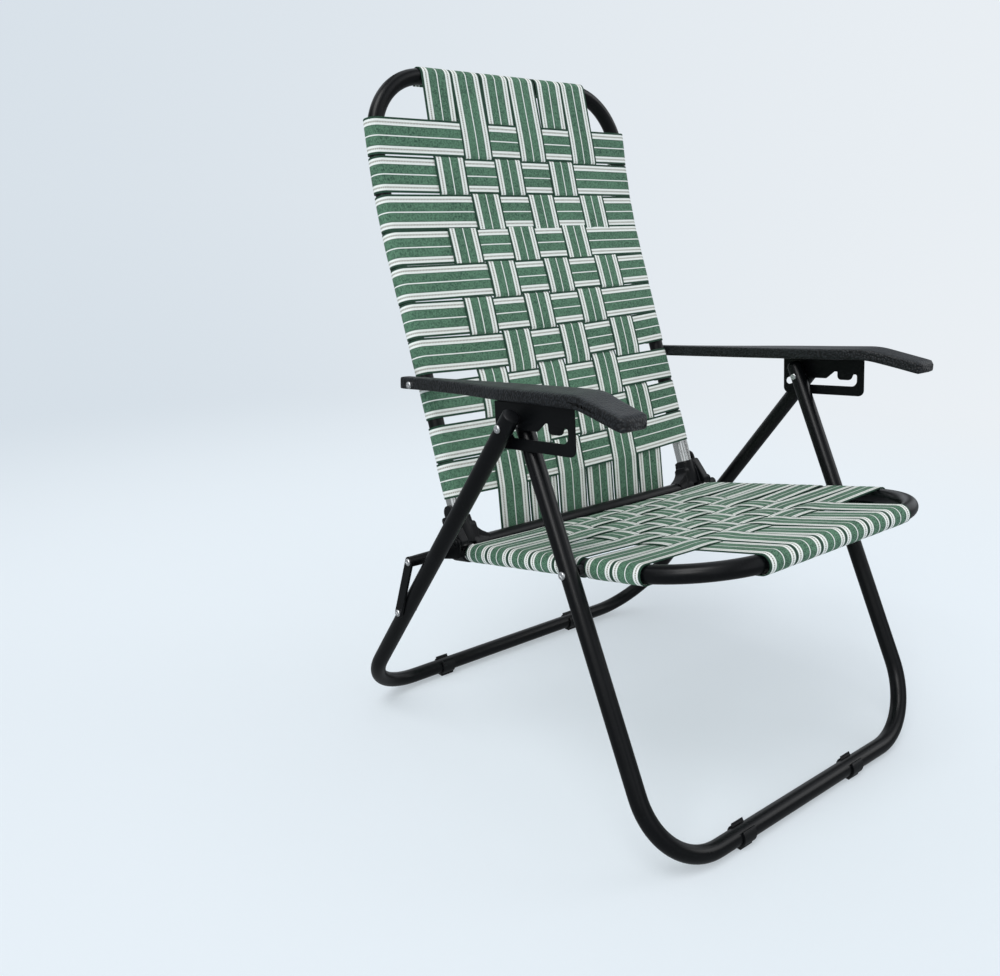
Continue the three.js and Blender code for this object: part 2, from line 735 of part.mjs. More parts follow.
// The slot's channel with its three notches and the run in which the pin travels when folding
function slotCutters() {
  const spot = (distance, height) => ({ place: armLine.place(distance, -height), radius: slotRadius });
  const branches = [
    [spot(0, -slotDrop), spot(frontNotchAt - slotRadius, -slotDrop)],
    [spot(0, -slotDrop), spot(0, 0)],
    [spot(0, 0), spot(slotFoldEndAt, slotFoldEndHeight)],
    [spot(frontNotchAt - 2 * slotRadius, -slotDrop), spot(frontNotchAt, frontNotchHeight)],
  ].map((ends) => sheet(beltShape(ends), plateInner - cutOverrun, plateInner + cutOverrun));
  const notch = new THREE.Shape();
  const notchTop = midNotchHeight + slotRadius;
  const outline = [[-midNotchHalf, notchTop], [midNotchHalf, notchTop],
    [midNotchHalf, -slotDrop], [-midNotchSlope, -slotDrop], [-midNotchSlope, midNotchLip]];
  outline.forEach(([step, height], index) => {
    const place = armLine.place(midNotchAt + step, -height);
    if (index) notch.lineTo(place.x, place.y);
    else notch.moveTo(place.x, place.y);
  });
  return [...branches, sheet(notch, plateInner - cutOverrun, plateInner + cutOverrun)];
}

function armPlate() {
  const plate = sheet(plateOutline(), plateInner, plateInner + plateThickness);
  const top = armPlateOffset - fitGap;
  const flange = new THREE.Shape();
  const under = top - plateThickness;
  [[-plateRear, top], [-plateRear, under], [plateFront, under], [plateFront, top]]
    .map(([distance, offset]) => armLine.place(distance, -offset))
    .forEach((place, index) => (index ? flange.lineTo(place.x, place.y) : flange.moveTo(place.x, place.y)));
  const lip = sheet(flange, plateInner - plateFlangeWidth, plateInner + plateThickness / 2);
  return join(cut(plate, ...slotCutters()), lip);
}

// Webbing: a strip through stations that each give a middle point, a width way and a thickness way

function strip(stations, width) {
  const half = width / 2;
  const thin = webThickness / 2;
  return loft(stations.map(({ point, wide, thick }) => [[1, 1], [-1, 1], [-1, -1], [1, -1]].map(([w, t]) => (
    point.clone().addScaledVector(wide, w * half).addScaledVector(thick, t * thin)
  ))));
}

// A strip across a frame: round one side tube, over and under the long strips, round the other.
// The frame gives the local place, the way along it and its upper side.
function crossStrip(frame, tubeX, width, radius, crossings) {
  const wide = at(0, frame.along);
  const up = at(0, frame.up);
  const right = new THREE.Vector3(1, 0, 0);
  const wrap = [];
  for (let step = 0; step <= wrapSteps; step++) {
    const turn = -Math.PI / 2 + (Math.PI * step) / wrapSteps;
    const thick = right.clone().multiplyScalar(Math.cos(turn)).addScaledVector(up, Math.sin(turn));
    const point = at(tubeX, frame.place).addScaledVector(thick, radius);
    wrap.push({ point, wide, thick });
  }
  const tail = { point: wrap[0].point.clone().addScaledVector(right, -webTail), wide, thick: wrap[0].thick };
  const rightEnd = [tail, ...wrap];
  const leftEnd = rightEnd.map(({ point, thick }) => ({
    point: point.clone().multiply(new THREE.Vector3(-1, 1, 1)),
    wide,
    thick: thick.clone().multiply(new THREE.Vector3(-1, 1, 1)),
  }));
  const woven = crossings.flatMap(({ x, half, over }) => [-half, half].map((step) => ({
    point: at(x + step, frame.place).addScaledVector(up, weaveHeight + (over ? weaveStep : -weaveStep)),
    wide,
    thick: up,
  })));
  return strip([...leftEnd, ...woven, ...rightEnd.reverse()], width);
}

// Where the crossing strips lie
const longPlaces = centred(longWebCount, longWebPitch);
const seatLongPlaces = centred(longWebCount, seatLongPitch);
const backCrossPlaces = [
  ...Array.from({ length: upperWebCount }, (_, k) => upperWebTop - crossWebWidth / 2 - k * crossWebPitch),
  ...Array.from({ length: lowerWebCount }, (_, k) => lowerWebTop - crossWebWidth / 2 - k * crossWebPitch),
];
const seatCrossPlaces = [
  ...Array.from({ length: frontWebCount }, (_, k) => (
    seatPivotAt - spacerGapHalf - seatWebWidth / 2 - (frontWebCount - 1 - k) * seatWebPitch)),
  ...Array.from({ length: rearWebCount }, (_, k) => (
    seatPivotAt + spacerGapHalf + seatWebWidth / 2 + k * seatWebPitch)),
];

function centred(count, pitch) {
  return Array.from({ length: count }, (_, k) => (k - (count - 1) / 2) * pitch);
}

function isOver(row, column) {
  return (row + column) % 2 === 0;
}

function backCrossStrip(row) {
  const { place, along, front } = backFrame(backCrossPlaces[row]);
  const half = longWebWidth / 2;
  const crossings = longPlaces.map((x, column) => ({ x, half, over: isOver(row, column) }));
  const bendStep = (backBend * backBendRadius) / bendSteps;
  const sag = (crossWebWidth ** 2 + bendStep ** 2) / (8 * backBendRadius);
  const bent = backCrossPlaces[row] + crossWebWidth > backBendStart;
  const radius = bent ? wrapRadius + sag : wrapRadius;
  return crossStrip({ place, along, up: front }, backHalfWidth, crossWebWidth, radius, crossings);
}

function seatCrossStrip(row) {
  const frame = { place: seatLine.place(seatCrossPlaces[row]), along: seatLine.along, up: seatLine.off };
  const half = seatLongWebWidth / 2;
  const crossings = seatLongPlaces.map((x, column) => ({ x, half, over: isOver(row, column) }));
  return crossStrip(frame, seatHalfWidth, seatWebWidth, wrapRadius, crossings);
}

// Stations of a strip round a bar in the side plane, from one angle to another
function sideWrap(x, centre, along, up, radius, from, to, steps) {
  return Array.from({ length: steps + 1 }, (_, step) => {
    const turn = from + ((to - from) * step) / steps;
    const out = at(0, up).multiplyScalar(Math.cos(turn)).addScaledVector(at(0, along), Math.sin(turn));
    const point = at(x, centre).addScaledVector(out, radius);
    return { point, wide: new THREE.Vector3(1, 0, 0), thick: out };
  });
}

function longStations(x, frames, half, column) {
  return frames.flatMap(({ place, along, up }, row) => [half, -half].map((step) => ({
    point: at(x, place)
      .addScaledVector(at(0, along), step)
      .addScaledVector(at(0, up), weaveHeight + (isOver(row, column) ? -weaveStep : weaveStep)),
    wide: new THREE.Vector3(1, 0, 0),
    thick: at(0, up),
  })));
}

function tailOf(station, along, length) {
  return { ...station, point: station.point.clone().addScaledVector(at(0, along), length) };
}

function backLongStrip(column) {
  const x = longPlaces[column];
  const top = backFrame(backTop);
  const frames = backCrossPlaces.map((distance) => {
    const { place, along, front } = backFrame(distance);
    return { place, along, up: front };
  });
  const head = sideWrap(x, top.place, top.along, top.front, wrapRadius, Math.PI, 0, wrapSteps);
  const foot = sideWrap(x, backLine.place(footBarAt), backLine.along, backFrame(0).front, wrapRadius,
    footWrapFrom, footWrapTo, footWrapSteps);
  for (const station of foot) station.thick.negate();
  const stations = [tailOf(head[0], top.along, -webTail), ...head];
  return strip([...stations, ...longStations(x, frames, crossWebWidth / 2, column), ...foot], longWebWidth);
}

function seatLongStrip(column) {
  const x = seatLongPlaces[column];
  const rear = seatLine.along;
  const frames = seatCrossPlaces.map((distance) => (
    { place: seatLine.place(distance), along: seatLine.along.clone().negate(), up: seatLine.off }));
  const front = sideWrap(x, seatLine.origin, rear, seatLine.off, wrapRadius, -Math.PI, 0, wrapSteps);
  const barWrap = seatBarRadius + webClearance + webThickness / 2;
  const back = sideWrap(x, seatLine.place(seatBarAt), rear, seatLine.off, barWrap, barWrapFrom, Math.PI,
    footWrapSteps);
  const stations = [tailOf(front[0], rear, webTail), ...front];
  const turned = longStations(x, frames, seatWebWidth / 2, column);
  const last = turned[turned.length - 1];
  const drop = tailOf(last, rear, webThickness);
  return strip([...stations, ...turned, drop, ...back, tailOf(back[back.length - 1], rear, -webTail)],
    seatLongWebWidth);
}

// Assembly

const chair = new THREE.Group();

function add(name, solid, material) {
  const mesh = new THREE.Mesh(toGeometry(solid), material);
  mesh.name = name;
  chair.add(mesh);
}

function addPair(name, solid, material) {
  add(`${name}_left`, mirrored(solid), material);
  add(`${name}_right`, solid, material);
}

function addStrips(name, count, make) {
  for (let k = 0; k < count; k++) add(`${name}_${k + 1}`, make(k), webbing);
}

add('front_leg_tube', frontLegTube(), steel);
add('rear_leg_tube', rearLegTube(), steel);
add('seat_tube', seatTube(), steel);
add('seat_rear_bar', seatRearBar(), steel);
add('back_tube', backTube(), steel);
add('back_foot_bar', hollowBar(backLine.place(footBarAt), footBarEnd, tubeRadius), steel);
addPair('hinge_casting', hingeCasting(), plastic);
addPair('back_sleeve', chromeSleeve(), chrome);
addPair('seat_end_fitting', seatEndFitting(), sheetSteel);
addPair('arm_pad', armPad(), plastic);
addPair('arm_plate', armPlate(), sheetSteel);
addPair('common_pin', commonPin(), zinc);
addPair('seat_pivot_bolt', seatPivotBolt(), zinc);
addPair('link_pivot_bolt', linkPivotBolt(), zinc);
addPair('fold_link', foldLink(), sheetSteel);
addPair('rear_leg_plug', legPlug(), plastic);

['left', 'right'].forEach((name, index) => {
  add(`front_foot_clip_${name}`, footClip(frontLegLine, frontClipX[index]), plastic);
  add(`rear_foot_clip_${name}`, footClip(rearLegLine, rearClipX[index]), plastic);
});

addStrips('back_cross_web', backCrossPlaces.length, backCrossStrip);
addStrips('back_long_web', longPlaces.length, backLongStrip);
addStrips('seat_cross_web', seatCrossPlaces.length, seatCrossStrip);
addStrips('seat_long_web', seatLongPlaces.length, seatLongStrip);

// The origin is the middle of the box's bottom face
const box = new THREE.Box3().setFromObject(chair);
chair.position.set(0, -(box.min.y + box.max.y) / 2, -box.min.z);

export default chair;
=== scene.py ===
"""Looks of a folding webbed lawn chair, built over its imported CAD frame.

Sizes are in millimetres in the drawing's frame. The row frame's Y lies SHIFT_Y from it.
"""

import logging
import math
from dataclasses import dataclass, field
from enum import Enum
from typing import Callable, Iterable, Sequence

import bpy
from mathutils import Matrix, Quaternion, Vector


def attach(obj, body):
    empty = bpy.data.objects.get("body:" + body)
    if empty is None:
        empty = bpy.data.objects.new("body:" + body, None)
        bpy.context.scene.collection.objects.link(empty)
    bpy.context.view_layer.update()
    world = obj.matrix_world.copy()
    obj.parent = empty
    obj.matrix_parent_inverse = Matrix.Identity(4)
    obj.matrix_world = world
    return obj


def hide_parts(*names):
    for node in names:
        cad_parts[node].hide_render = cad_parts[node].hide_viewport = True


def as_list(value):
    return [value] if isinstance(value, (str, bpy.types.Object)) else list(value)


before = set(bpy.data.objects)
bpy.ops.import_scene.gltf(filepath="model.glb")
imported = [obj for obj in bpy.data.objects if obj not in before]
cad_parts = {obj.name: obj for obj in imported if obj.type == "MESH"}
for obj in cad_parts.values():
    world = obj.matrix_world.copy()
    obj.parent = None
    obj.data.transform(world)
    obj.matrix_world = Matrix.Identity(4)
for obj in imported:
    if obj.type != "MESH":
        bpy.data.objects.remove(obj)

LOG = logging.getLogger("lawn_chair")
MM = 0.001
SHIFT_Y = -359.765
ACROSS = Vector((1.0, 0.0, 0.0))
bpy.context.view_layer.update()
Pair = tuple[float, float]
Profile = Sequence[Pair]


class Side(Enum):
    """The chair's two sides, by the sign of X."""

    LEFT = -1
    RIGHT = 1

    def node(self, stem: str) -> str:
        """The name of a node of this side."""
        return f"{stem}_{self.name.lower()}"


def spot(x: float, y: float, z: float) -> Vector:
    """A point of the drawing as a point of the row frame, in metres."""
    return Vector((x, y + SHIFT_Y, z)) * MM


def mix(low: float, high: float, share: float) -> float:
    """The value at a share of the way from low to high."""
    return low + (high - low) * share


def table_value(table: Sequence[Pair], key: float) -> float:
    """Reads a table of key and value, with straight lines between its rows."""
    if key <= table[0][0]:
        return table[0][1]
    for (low, first), (high, second) in zip(table, table[1:]):
        if key <= high:
            return mix(first, second, (key - low) / (high - low))
    return table[-1][1]


@dataclass(frozen=True)
class SideLine:
    """A line in the side plane.

    Attributes:
        y: Y of its start.
        z: Z of its start.
        angle: Its direction in degrees, anticlockwise from +Y.
    """

    y: float
    z: float
    angle: float

    @property
    def along(self) -> Vector:
        """The unit vector along the line."""
        turn = math.radians(self.angle)
        return Vector((0.0, math.cos(turn), math.sin(turn)))

    @property
    def off(self) -> Vector:
        """The unit vector off the line, a quarter turn anticlockwise."""
        turn = math.radians(self.angle)
        return Vector((0.0, -math.sin(turn), math.cos(turn)))

    def point(self, distance: float, off: float = 0.0, x: float = 0.0) -> Vector:
        """A point of the row frame, in metres.

        Args:
            distance: Distance along the line.
            off: Distance off the line.
            x: Distance across the chair.

        Returns:
            The point.
        """
        reach = self.along * distance + self.off * off
        return spot(x, self.y + reach.y, self.z + reach.z)


@dataclass(frozen=True)
class Plan:
    """The lines, pivots and sizes that several pieces share, as in the CAD source."""

    tube: float = 12.7
    rod: float = 9.5
    gap: float = 0.3
    web: float = 1.4
    front_leg: SideLine = SideLine(0.0, 17.0, 62.112)
    front_leg_length: float = 620.0
    front_half: float = 316.3
    rear_leg: SideLine = SideLine(662.3, 17.0, 124.192)
    rear_leg_length: float = 662.5
    rear_half: float = 349.6
    seat: SideLine = SideLine(-9.2, 424.2, -11.93)
    seat_half: float = 280.4
    seat_length: float = 502.97
    rod_at: float = 446.97
    back: SideLine = SideLine(500.26, 399.96, 67.32)
    back_half: float = 272.0
    back_bend_at: float = 396.0
    back_bend_radius: float = 954.0
    back_bend: float = 10.2
    back_top: float = 681.0
    foot_bar_at: float = -76.4
    pin: Pair = (290.0, 565.0)
    arm_slope: float = 6.308
    arm: SideLine = SideLine(*pin, 180 - arm_slope)
    seat_pivot: Pair = (192.893, 381.502)
    link_foot: Pair = (521.808, 223.794)
    link_top: Pair = (492.006, 318.305)
    link_inner: float = 362.9
    link_outer: float = 367.1
    hinge: Pair = (455.945, 345.001)
    arm_pivot: Pair = (576.929, 572.005)


PLAN = Plan()


# Modelling


class Bench:
    """Operators as used by hand, one object at a time."""

    @staticmethod
    def clear() -> None:
        """Leaves edit mode and deselects everything."""
        if bpy.context.object and bpy.context.object.mode != "OBJECT":
            bpy.ops.object.mode_set(mode="OBJECT")
        bpy.ops.object.select_all(action="DESELECT")

    @staticmethod
    def take(*pieces: bpy.types.Object) -> None:
        """Selects pieces and makes the first one active."""
        Bench.clear()
        for piece in pieces:
            piece.select_set(True)
        bpy.context.view_layer.objects.active = pieces[0]

    @staticmethod
    def edit() -> None:
        """Opens the active mesh with all of it selected."""
        bpy.ops.object.mode_set(mode="EDIT")
        bpy.ops.mesh.select_all(action="SELECT")

    @staticmethod
    def settle(name: str, angle: float = 35.0) -> bpy.types.Object:
        """Closes, cleans and names the active mesh, with its place in its mesh.

        Args:
            name: The piece's name.
            angle: Edges flatter than this are shaded smooth, in degrees.

        Returns:
            The finished object.
        """
        if bpy.context.object.mode != "EDIT":
            Bench.edit()
        bpy.ops.mesh.select_all(action="SELECT")
        bpy.ops.mesh.remove_doubles(threshold=1e-6)
        bpy.ops.mesh.fill_holes(sides=0)
        bpy.ops.mesh.select_all(action="SELECT")
        bpy.ops.mesh.normals_make_consistent(inside=False)
        bpy.ops.object.mode_set(mode="OBJECT")
        piece = bpy.context.object
        bpy.ops.object.transform_apply(location=True, rotation=True, scale=True)
        bpy.ops.object.shade_smooth_by_angle(angle=math.radians(angle))
        piece.name = piece.data.name = name
        return piece

    @staticmethod
    def apply(piece: bpy.types.Object, kind: str, **settings: object) -> None:
        """Adds a modifier with its settings and applies it."""
        Bench.take(piece)
        modifier = piece.modifiers.new(kind.title(), kind)
        for key, value in settings.items():
            setattr(modifier, key, value)
        bpy.ops.object.modifier_apply(modifier=modifier.name)

    @staticmethod
    def bevel(piece: bpy.types.Object, width: float, segments: int = 2, angle: float = 35.0) -> None:
        """Rounds the sharp edges of a piece.

        Args:
            piece: The piece.
            width: Width of the rounding.
            segments: Faces across it.
            angle: Edges sharper than this are rounded, in degrees.
        """
        Bench.apply(
            piece, "BEVEL", width=width * MM, segments=segments, limit_method="ANGLE",
            angle_limit=math.radians(angle), use_clamp_overlap=True, harden_normals=False,
        )
        bpy.ops.object.shade_smooth_by_angle(angle=math.radians(30))

    @staticmethod
    def combine(operation: str, piece: bpy.types.Object, *others: bpy.types.Object) -> None:
        """Cuts others out of a piece, or makes them one solid with it, and removes them."""
        for other in others:
            Bench.apply(piece, "BOOLEAN", object=other, operation=operation, solver="EXACT")
            bpy.data.objects.remove(other)

    @staticmethod
    def join(name: str, *pieces: bpy.types.Object) -> bpy.types.Object:
        """Joins pieces into the first one and names it."""
        if len(pieces) > 1:
            Bench.take(*pieces)
            bpy.ops.object.join()
        pieces[0].name = pieces[0].data.name = name
        return pieces[0]

    @staticmethod
    def melt(piece: bpy.types.Object, voxel: float, passes: int) -> None:
        """Runs a piece's walls together with soft fillets, as a casting's.

        Args:
            piece: The piece.
            voxel: Size of the remeshing grid.
            passes: How often the surface is smoothed.
        """
        Bench.apply(piece, "REMESH", mode="VOXEL", voxel_size=voxel * MM, use_smooth_shade=True)
        Bench.apply(piece, "SMOOTH", factor=0.5, iterations=passes)


class TubePen:
    """A round bar made as by hand: a circle extruded along straights and spun round bends."""

    def __init__(self, start: Vector, heading: Vector, radius: float, sides: int = 40) -> None:
        """Adds the first circle.

        Args:
            start: Middle of the first end.
            heading: The way the bar sets off.
            radius: The bar's radius.
            sides: Points round it.
        """
        Bench.clear()
        self.tip = start.copy()
        self.heading = heading.normalized()
        turn = self.heading.to_track_quat("Z", "Y").to_euler()
        bpy.ops.mesh.primitive_circle_add(vertices=sides, radius=radius * MM, location=start, rotation=turn)
        Bench.edit()

    def straight(self, length: float, scale: float = 1.0) -> "TubePen":
        """Extrudes the last ring along the bar, and scales it about its middle."""
        step = self.heading * length * MM
        bpy.ops.mesh.extrude_region_move(TRANSFORM_OT_translate={"value": step})
        self.tip += step
        if scale != 1.0:
            bpy.ops.transform.resize(value=(scale,) * 3, center_override=self.tip)
        return self

    def profile(self, steps: Iterable[Pair]) -> "TubePen":
        """Extrudes by steps of length and scale, for a turned shape."""
        for length, scale in steps:
            self.straight(length, scale)
        return self

    def bend(self, radius: float, towards: Vector, degrees: float, steps: int) -> "TubePen":
        """Spins the last ring round a bend.

        Args:
            radius: Radius of the bend's middle line.
            towards: The side on which the bend's centre lies.
            degrees: How far it turns.
            steps: Faces along it.

        Returns:
            The pen.
        """
        side = (towards - self.heading * towards.dot(self.heading)).normalized()
        centre = self.tip + side * radius * MM
        axis = self.heading.cross(side).normalized()
        bpy.ops.mesh.spin(steps=steps, angle=-math.radians(degrees), center=centre, axis=axis)
        turn = Quaternion(axis, math.radians(degrees))
        self.tip = centre + turn @ (self.tip - centre)
        self.heading = turn @ self.heading
        return self

    def finish(self, name: str, angle: float = 35.0) -> bpy.types.Object:
        """Closes both ends and returns the bar."""
        return Bench.settle(name, angle)


def turned(name: str, start: Vector, heading: Vector, profile: Profile, sides: int = 36) -> bpy.types.Object:
    """A turned piece: rings of a radius at a distance along an axis.

    Args:
        name: The piece's name.
        start: Where distance 0 lies.
        heading: The axis.
        profile: Distance and radius of each ring.
        sides: Points round it.

    Returns:
        The piece.
    """
    at, radius = profile[0]
    pen = TubePen(start + heading.normalized() * at * MM, heading, radius, sides)
    for distance, wide in profile[1:]:
        pen.straight(distance - at, wide / radius)
        at, radius = distance, wide
    return pen.finish(name)


class OutlinePen:
    """A flat outline drawn vertex by vertex, filled and given its thickness."""

    @staticmethod
    def rounded(corners: Sequence[tuple[float, float, float]], steps: int = 7) -> list[Pair]:
        """The points of an outline with rounded corners.

        Args:
            corners: Two coordinates and a radius for each corner, in order.
            steps: Faces round a corner.

        Returns:
            The outline's points.
        """
        points: list[Pair] = []
        for index, (u, v, radius) in enumerate(corners):
            here = Vector((u, v))
            back = Vector(corners[index - 1][:2]) - here
            ahead = Vector(corners[(index + 1) % len(corners)][:2]) - here
            if radius <= 0:
                points.append((u, v))
                continue
            half = back.angle(ahead) / 2
            reach = min(radius / math.tan(half), back.length * 0.5, ahead.length * 0.5)
            radius = reach * math.tan(half)
            centre = here + (back.normalized() + ahead.normalized()).normalized() * (radius / math.sin(half))
            first = here + back.normalized() * reach - centre
            last = here + ahead.normalized() * reach - centre
            turn = first.angle_signed(last)
            for step in range(steps + 1):
                arm = first.copy()
                arm.rotate(Matrix.Rotation(-turn * step / steps, 2))
                points.append(tuple(centre + arm))
        return points

    @staticmethod
    def belt(circles: Sequence[tuple[Pair, float]], steps: int = 14) -> list[Pair]:
        """The outline of a belt round circles given as centre and radius, anticlockwise."""
        points: list[Pair] = []
        count = len(circles)
        for index in range(count):
            (centre, radius), before, after = circles[index], circles[index - 1], circles[(index + 1) % count]
            angles = []
            for (start, first), (end, second) in ((before, circles[index]), (circles[index], after)):
                reach = Vector(end) - Vector(start)
                lean = math.asin((second - first) / reach.length)
                angles.append(math.atan2(reach.y, reach.x) - math.pi / 2 - lean)
            while angles[1] < angles[0]:
                angles[1] += 2 * math.pi
            for step in range(steps + 1):
                turn = mix(angles[0], angles[1], step / steps)
                points.append((centre[0] + radius * math.cos(turn), centre[1] + radius * math.sin(turn)))
        return points

    @staticmethod
    def draw(name: str, points: Sequence[Vector], depth: Vector) -> bpy.types.Object:
        """Draws, fills and extrudes an outline.

        Args:
            name: The piece's name.
            points: The outline's points, in metres.
            depth: The way and length of the extrusion, in metres.

        Returns:
            The piece.
        """
        Bench.clear()
        bpy.ops.mesh.primitive_plane_add(size=MM, location=points[0])
        Bench.edit()
        bpy.ops.mesh.merge(type="CENTER")
        for before, point in zip(points, [*points[1:], points[0]]):
            bpy.ops.mesh.extrude_vertices_move(TRANSFORM_OT_translate={"value": point - before})
        bpy.ops.mesh.select_all(action="SELECT")
        bpy.ops.mesh.remove_doubles(threshold=1e-6)
        bpy.ops.mesh.edge_face_add()
        bpy.ops.mesh.extrude_region_move(TRANSFORM_OT_translate={"value": depth})
        return Bench.settle(name)


def side_plate(
    name: str, points: Sequence[Pair], x_from: float, x_to: float, line: SideLine | None = None
) -> bpy.types.Object:
    """A plate in the side plane.

    Args:
        name: The piece's name.
        points: Its outline, as Y and Z or as distances along and off a line.
        x_from: X of one face.
        x_to: X of the other.
        line: The line, where the outline is given by one.

    Returns:
        The plate.
    """
    if line:
        places = [line.point(u, v, x_from) for u, v in points]
    else:
        places = [spot(x_from, y, z) for y, z in points]
    return OutlinePen.draw(name, places, ACROSS * (x_to - x_from) * MM)


def lofted(
    name: str, rows: int, columns: int, point: Callable[[float, float], Vector], closed: bool, angle: float
) -> bpy.types.Object:
    """A grid whose vertices are moved onto a surface.

    Args:
        name: The piece's name.
        rows: Faces along it.
        columns: Faces across or round it.
        point: Gives the place of a share across and a share along.
        closed: Whether the columns meet, so that the piece is a closed body.
        angle: Edges flatter than this are shaded smooth, in degrees.

    Returns:
        The piece, with a UV map of the two shares.
    """
    Bench.clear()
    bpy.ops.mesh.primitive_grid_add(x_subdivisions=columns, y_subdivisions=rows, size=1)
    piece = bpy.context.object
    for vertex in piece.data.vertices:
        vertex.co = point(vertex.co.x + 0.5, vertex.co.y + 0.5)
    if closed:
        return Bench.settle(name, angle)
    piece.name = piece.data.name = name
    bpy.ops.object.shade_smooth_by_angle(angle=math.radians(angle))
    return piece


# Shader maths


class Signal:
    """A node socket that takes part in sums."""

    def __init__(self, board: "Board", socket: bpy.types.NodeSocket) -> None:
        """Wraps a socket of a board."""
        self.board = board
        self.socket = socket

    def _sum(self, operation: str, *values: "Signal | float") -> "Signal":
        """Adds a Math node."""
        return self.board.node("ShaderNodeMath", {"operation": operation}, dict(enumerate(values)))

    def __add__(self, other: "Signal | float") -> "Signal":
        """Sum."""
        return self._sum("ADD", self, other)

    def __sub__(self, other: "Signal | float") -> "Signal":
        """Difference."""
        return self._sum("SUBTRACT", self, other)

    def __rsub__(self, other: "Signal | float") -> "Signal":
        """Difference from a number."""
        return self._sum("SUBTRACT", other, self)

    def __mul__(self, other: "Signal | float") -> "Signal":
        """Product."""
        return self._sum("MULTIPLY", self, other)

    __radd__ = __add__
    __rmul__ = __mul__

    def size(self) -> "Signal":
        """The value without its sign."""
        return self._sum("ABSOLUTE", self)

    def sine(self) -> "Signal":
        """The sine."""
        return self._sum("SINE", self)

    def wave(self, period: float, start: float = 0.0) -> "Signal":
        """A wave from 0 to 1 with a period."""
        return (self * (2 * math.pi / period) + start).sine() * 0.5 + 0.5

    def over(self, edge: float, blur: float) -> "Signal":
        """0 below an edge and 1 above it, with a soft step."""
        settings = {"interpolation_type": "SMOOTHSTEP"}
        return self.board.node("ShaderNodeMapRange", settings, {0: self, 1: edge - blur, 2: edge + blur})

    def band(self, low: float, high: float, blur: float) -> "Signal":
        """1 between two edges and 0 outside."""
        return self.over(low, blur) * (1 - self.over(high, blur))


class Board:
    """The nodes of one material."""

    def __init__(self, name: str) -> None:
        """Starts a material with a Principled shader."""
        self.material = bpy.data.materials.new(name)
        self.material.use_nodes = True
        self.tree = self.material.node_tree
        self.shader = self.tree.nodes["Principled BSDF"]

    @classmethod
    def of(cls, tree: bpy.types.NodeTree) -> "Board":
        """A board over nodes that belong to no material."""
        board = cls.__new__(cls)
        board.tree = tree
        return board

    def node(
        self, kind: str, settings: dict[str, object] | None = None,
        inputs: dict[int | str, object] | None = None, output: int | str = 0,
    ) -> Signal:
        """Adds a node.

        Args:
            kind: The node's type.
            settings: Its own settings, set first.
            inputs: Values or signals for its sockets.
            output: The output to return.

        Returns:
            The output as a signal.
        """
        made = self.tree.nodes.new(kind)
        for key, value in (settings or {}).items():
            setattr(made, key, value)
        for key, value in (inputs or {}).items():
            self._feed(made.inputs[key], value)
        return Signal(self, made.outputs[output])

    def _feed(self, socket: bpy.types.NodeSocket, value: object) -> None:
        """Links a signal to a socket, or sets its value."""
        if isinstance(value, Signal):
            self.tree.links.new(value.socket, socket)
        elif isinstance(value, tuple) and len(value) == 3 and socket.type == "RGBA":
            socket.default_value = (*value, 1.0)
        else:
            socket.default_value = value

    def set(self, **sockets: object) -> None:
        """Feeds the shader's sockets, named with underscores."""
        for key, value in sockets.items():
            self._feed(self.shader.inputs[key.replace("_", " ").title().replace("Ior", "IOR")], value)

    def place(self) -> Signal:
        """Object coordinates, in metres."""
        return self.node("ShaderNodeTexCoord", output="Object")

    def blend(self, share: "Signal | float", low: object, high: object) -> Signal:
        """Mixes two colours by a share."""
        return self.node("ShaderNodeMix", {"data_type": "RGBA"}, {0: share, 6: low, 7: high}, output=2)

    def noise(self, place: Signal, scale: float, detail: float = 3.0) -> Signal:
        """Noise from 0 to 1."""
        return self.node("ShaderNodeTexNoise", None, {"Vector": place, "Scale": scale, "Detail": detail})

    def relief(self, height: Signal, depth: float) -> Signal:
        """A bump normal from a height, with its depth in millimetres."""
        return self.node("ShaderNodeBump", None, {"Height": height, "Strength": 1.0, "Distance": depth * MM})

    def part(self, place: Signal, axis: int) -> Signal:
        """One of the three numbers of a place."""
        return self.node("ShaderNodeSeparateXYZ", None, {0: place}, output=axis)


@dataclass(frozen=True)
class Enamel:
    """Black enamel baked on steel: satin, faintly rippled, with dust and rubbed spots."""

    name: str
    colour: tuple[float, float, float] = (0.0020, 0.0024, 0.0030)
    roughness: float = 0.30
    ripple: float = 0.012
    shine: float = 0.26

    def make(self) -> bpy.types.Material:
        """Builds the material."""
        board = Board(self.name)
        place = board.place()
        cloud = board.noise(place, 22.0, 4.0)
        grain = board.noise(place, 1400.0, 2.0)
        dust = board.noise(place, 420.0, 5.0).over(0.66, 0.05)
        rubbed_and_paler = cloud.over(0.6, 0.12)
        tint = board.blend(rubbed_and_paler * 0.5, self.colour, tuple(c * 1.7 for c in self.colour))
        board.set(
            base_color=board.blend(dust * 0.12, tint, (0.05, 0.052, 0.056)),
            roughness=cloud * 0.1 + grain * 0.05 + dust * 0.1 + (self.roughness - 0.08),
            normal=board.relief(grain, self.ripple), specular_ior_level=self.shine,
        )
        return board.material


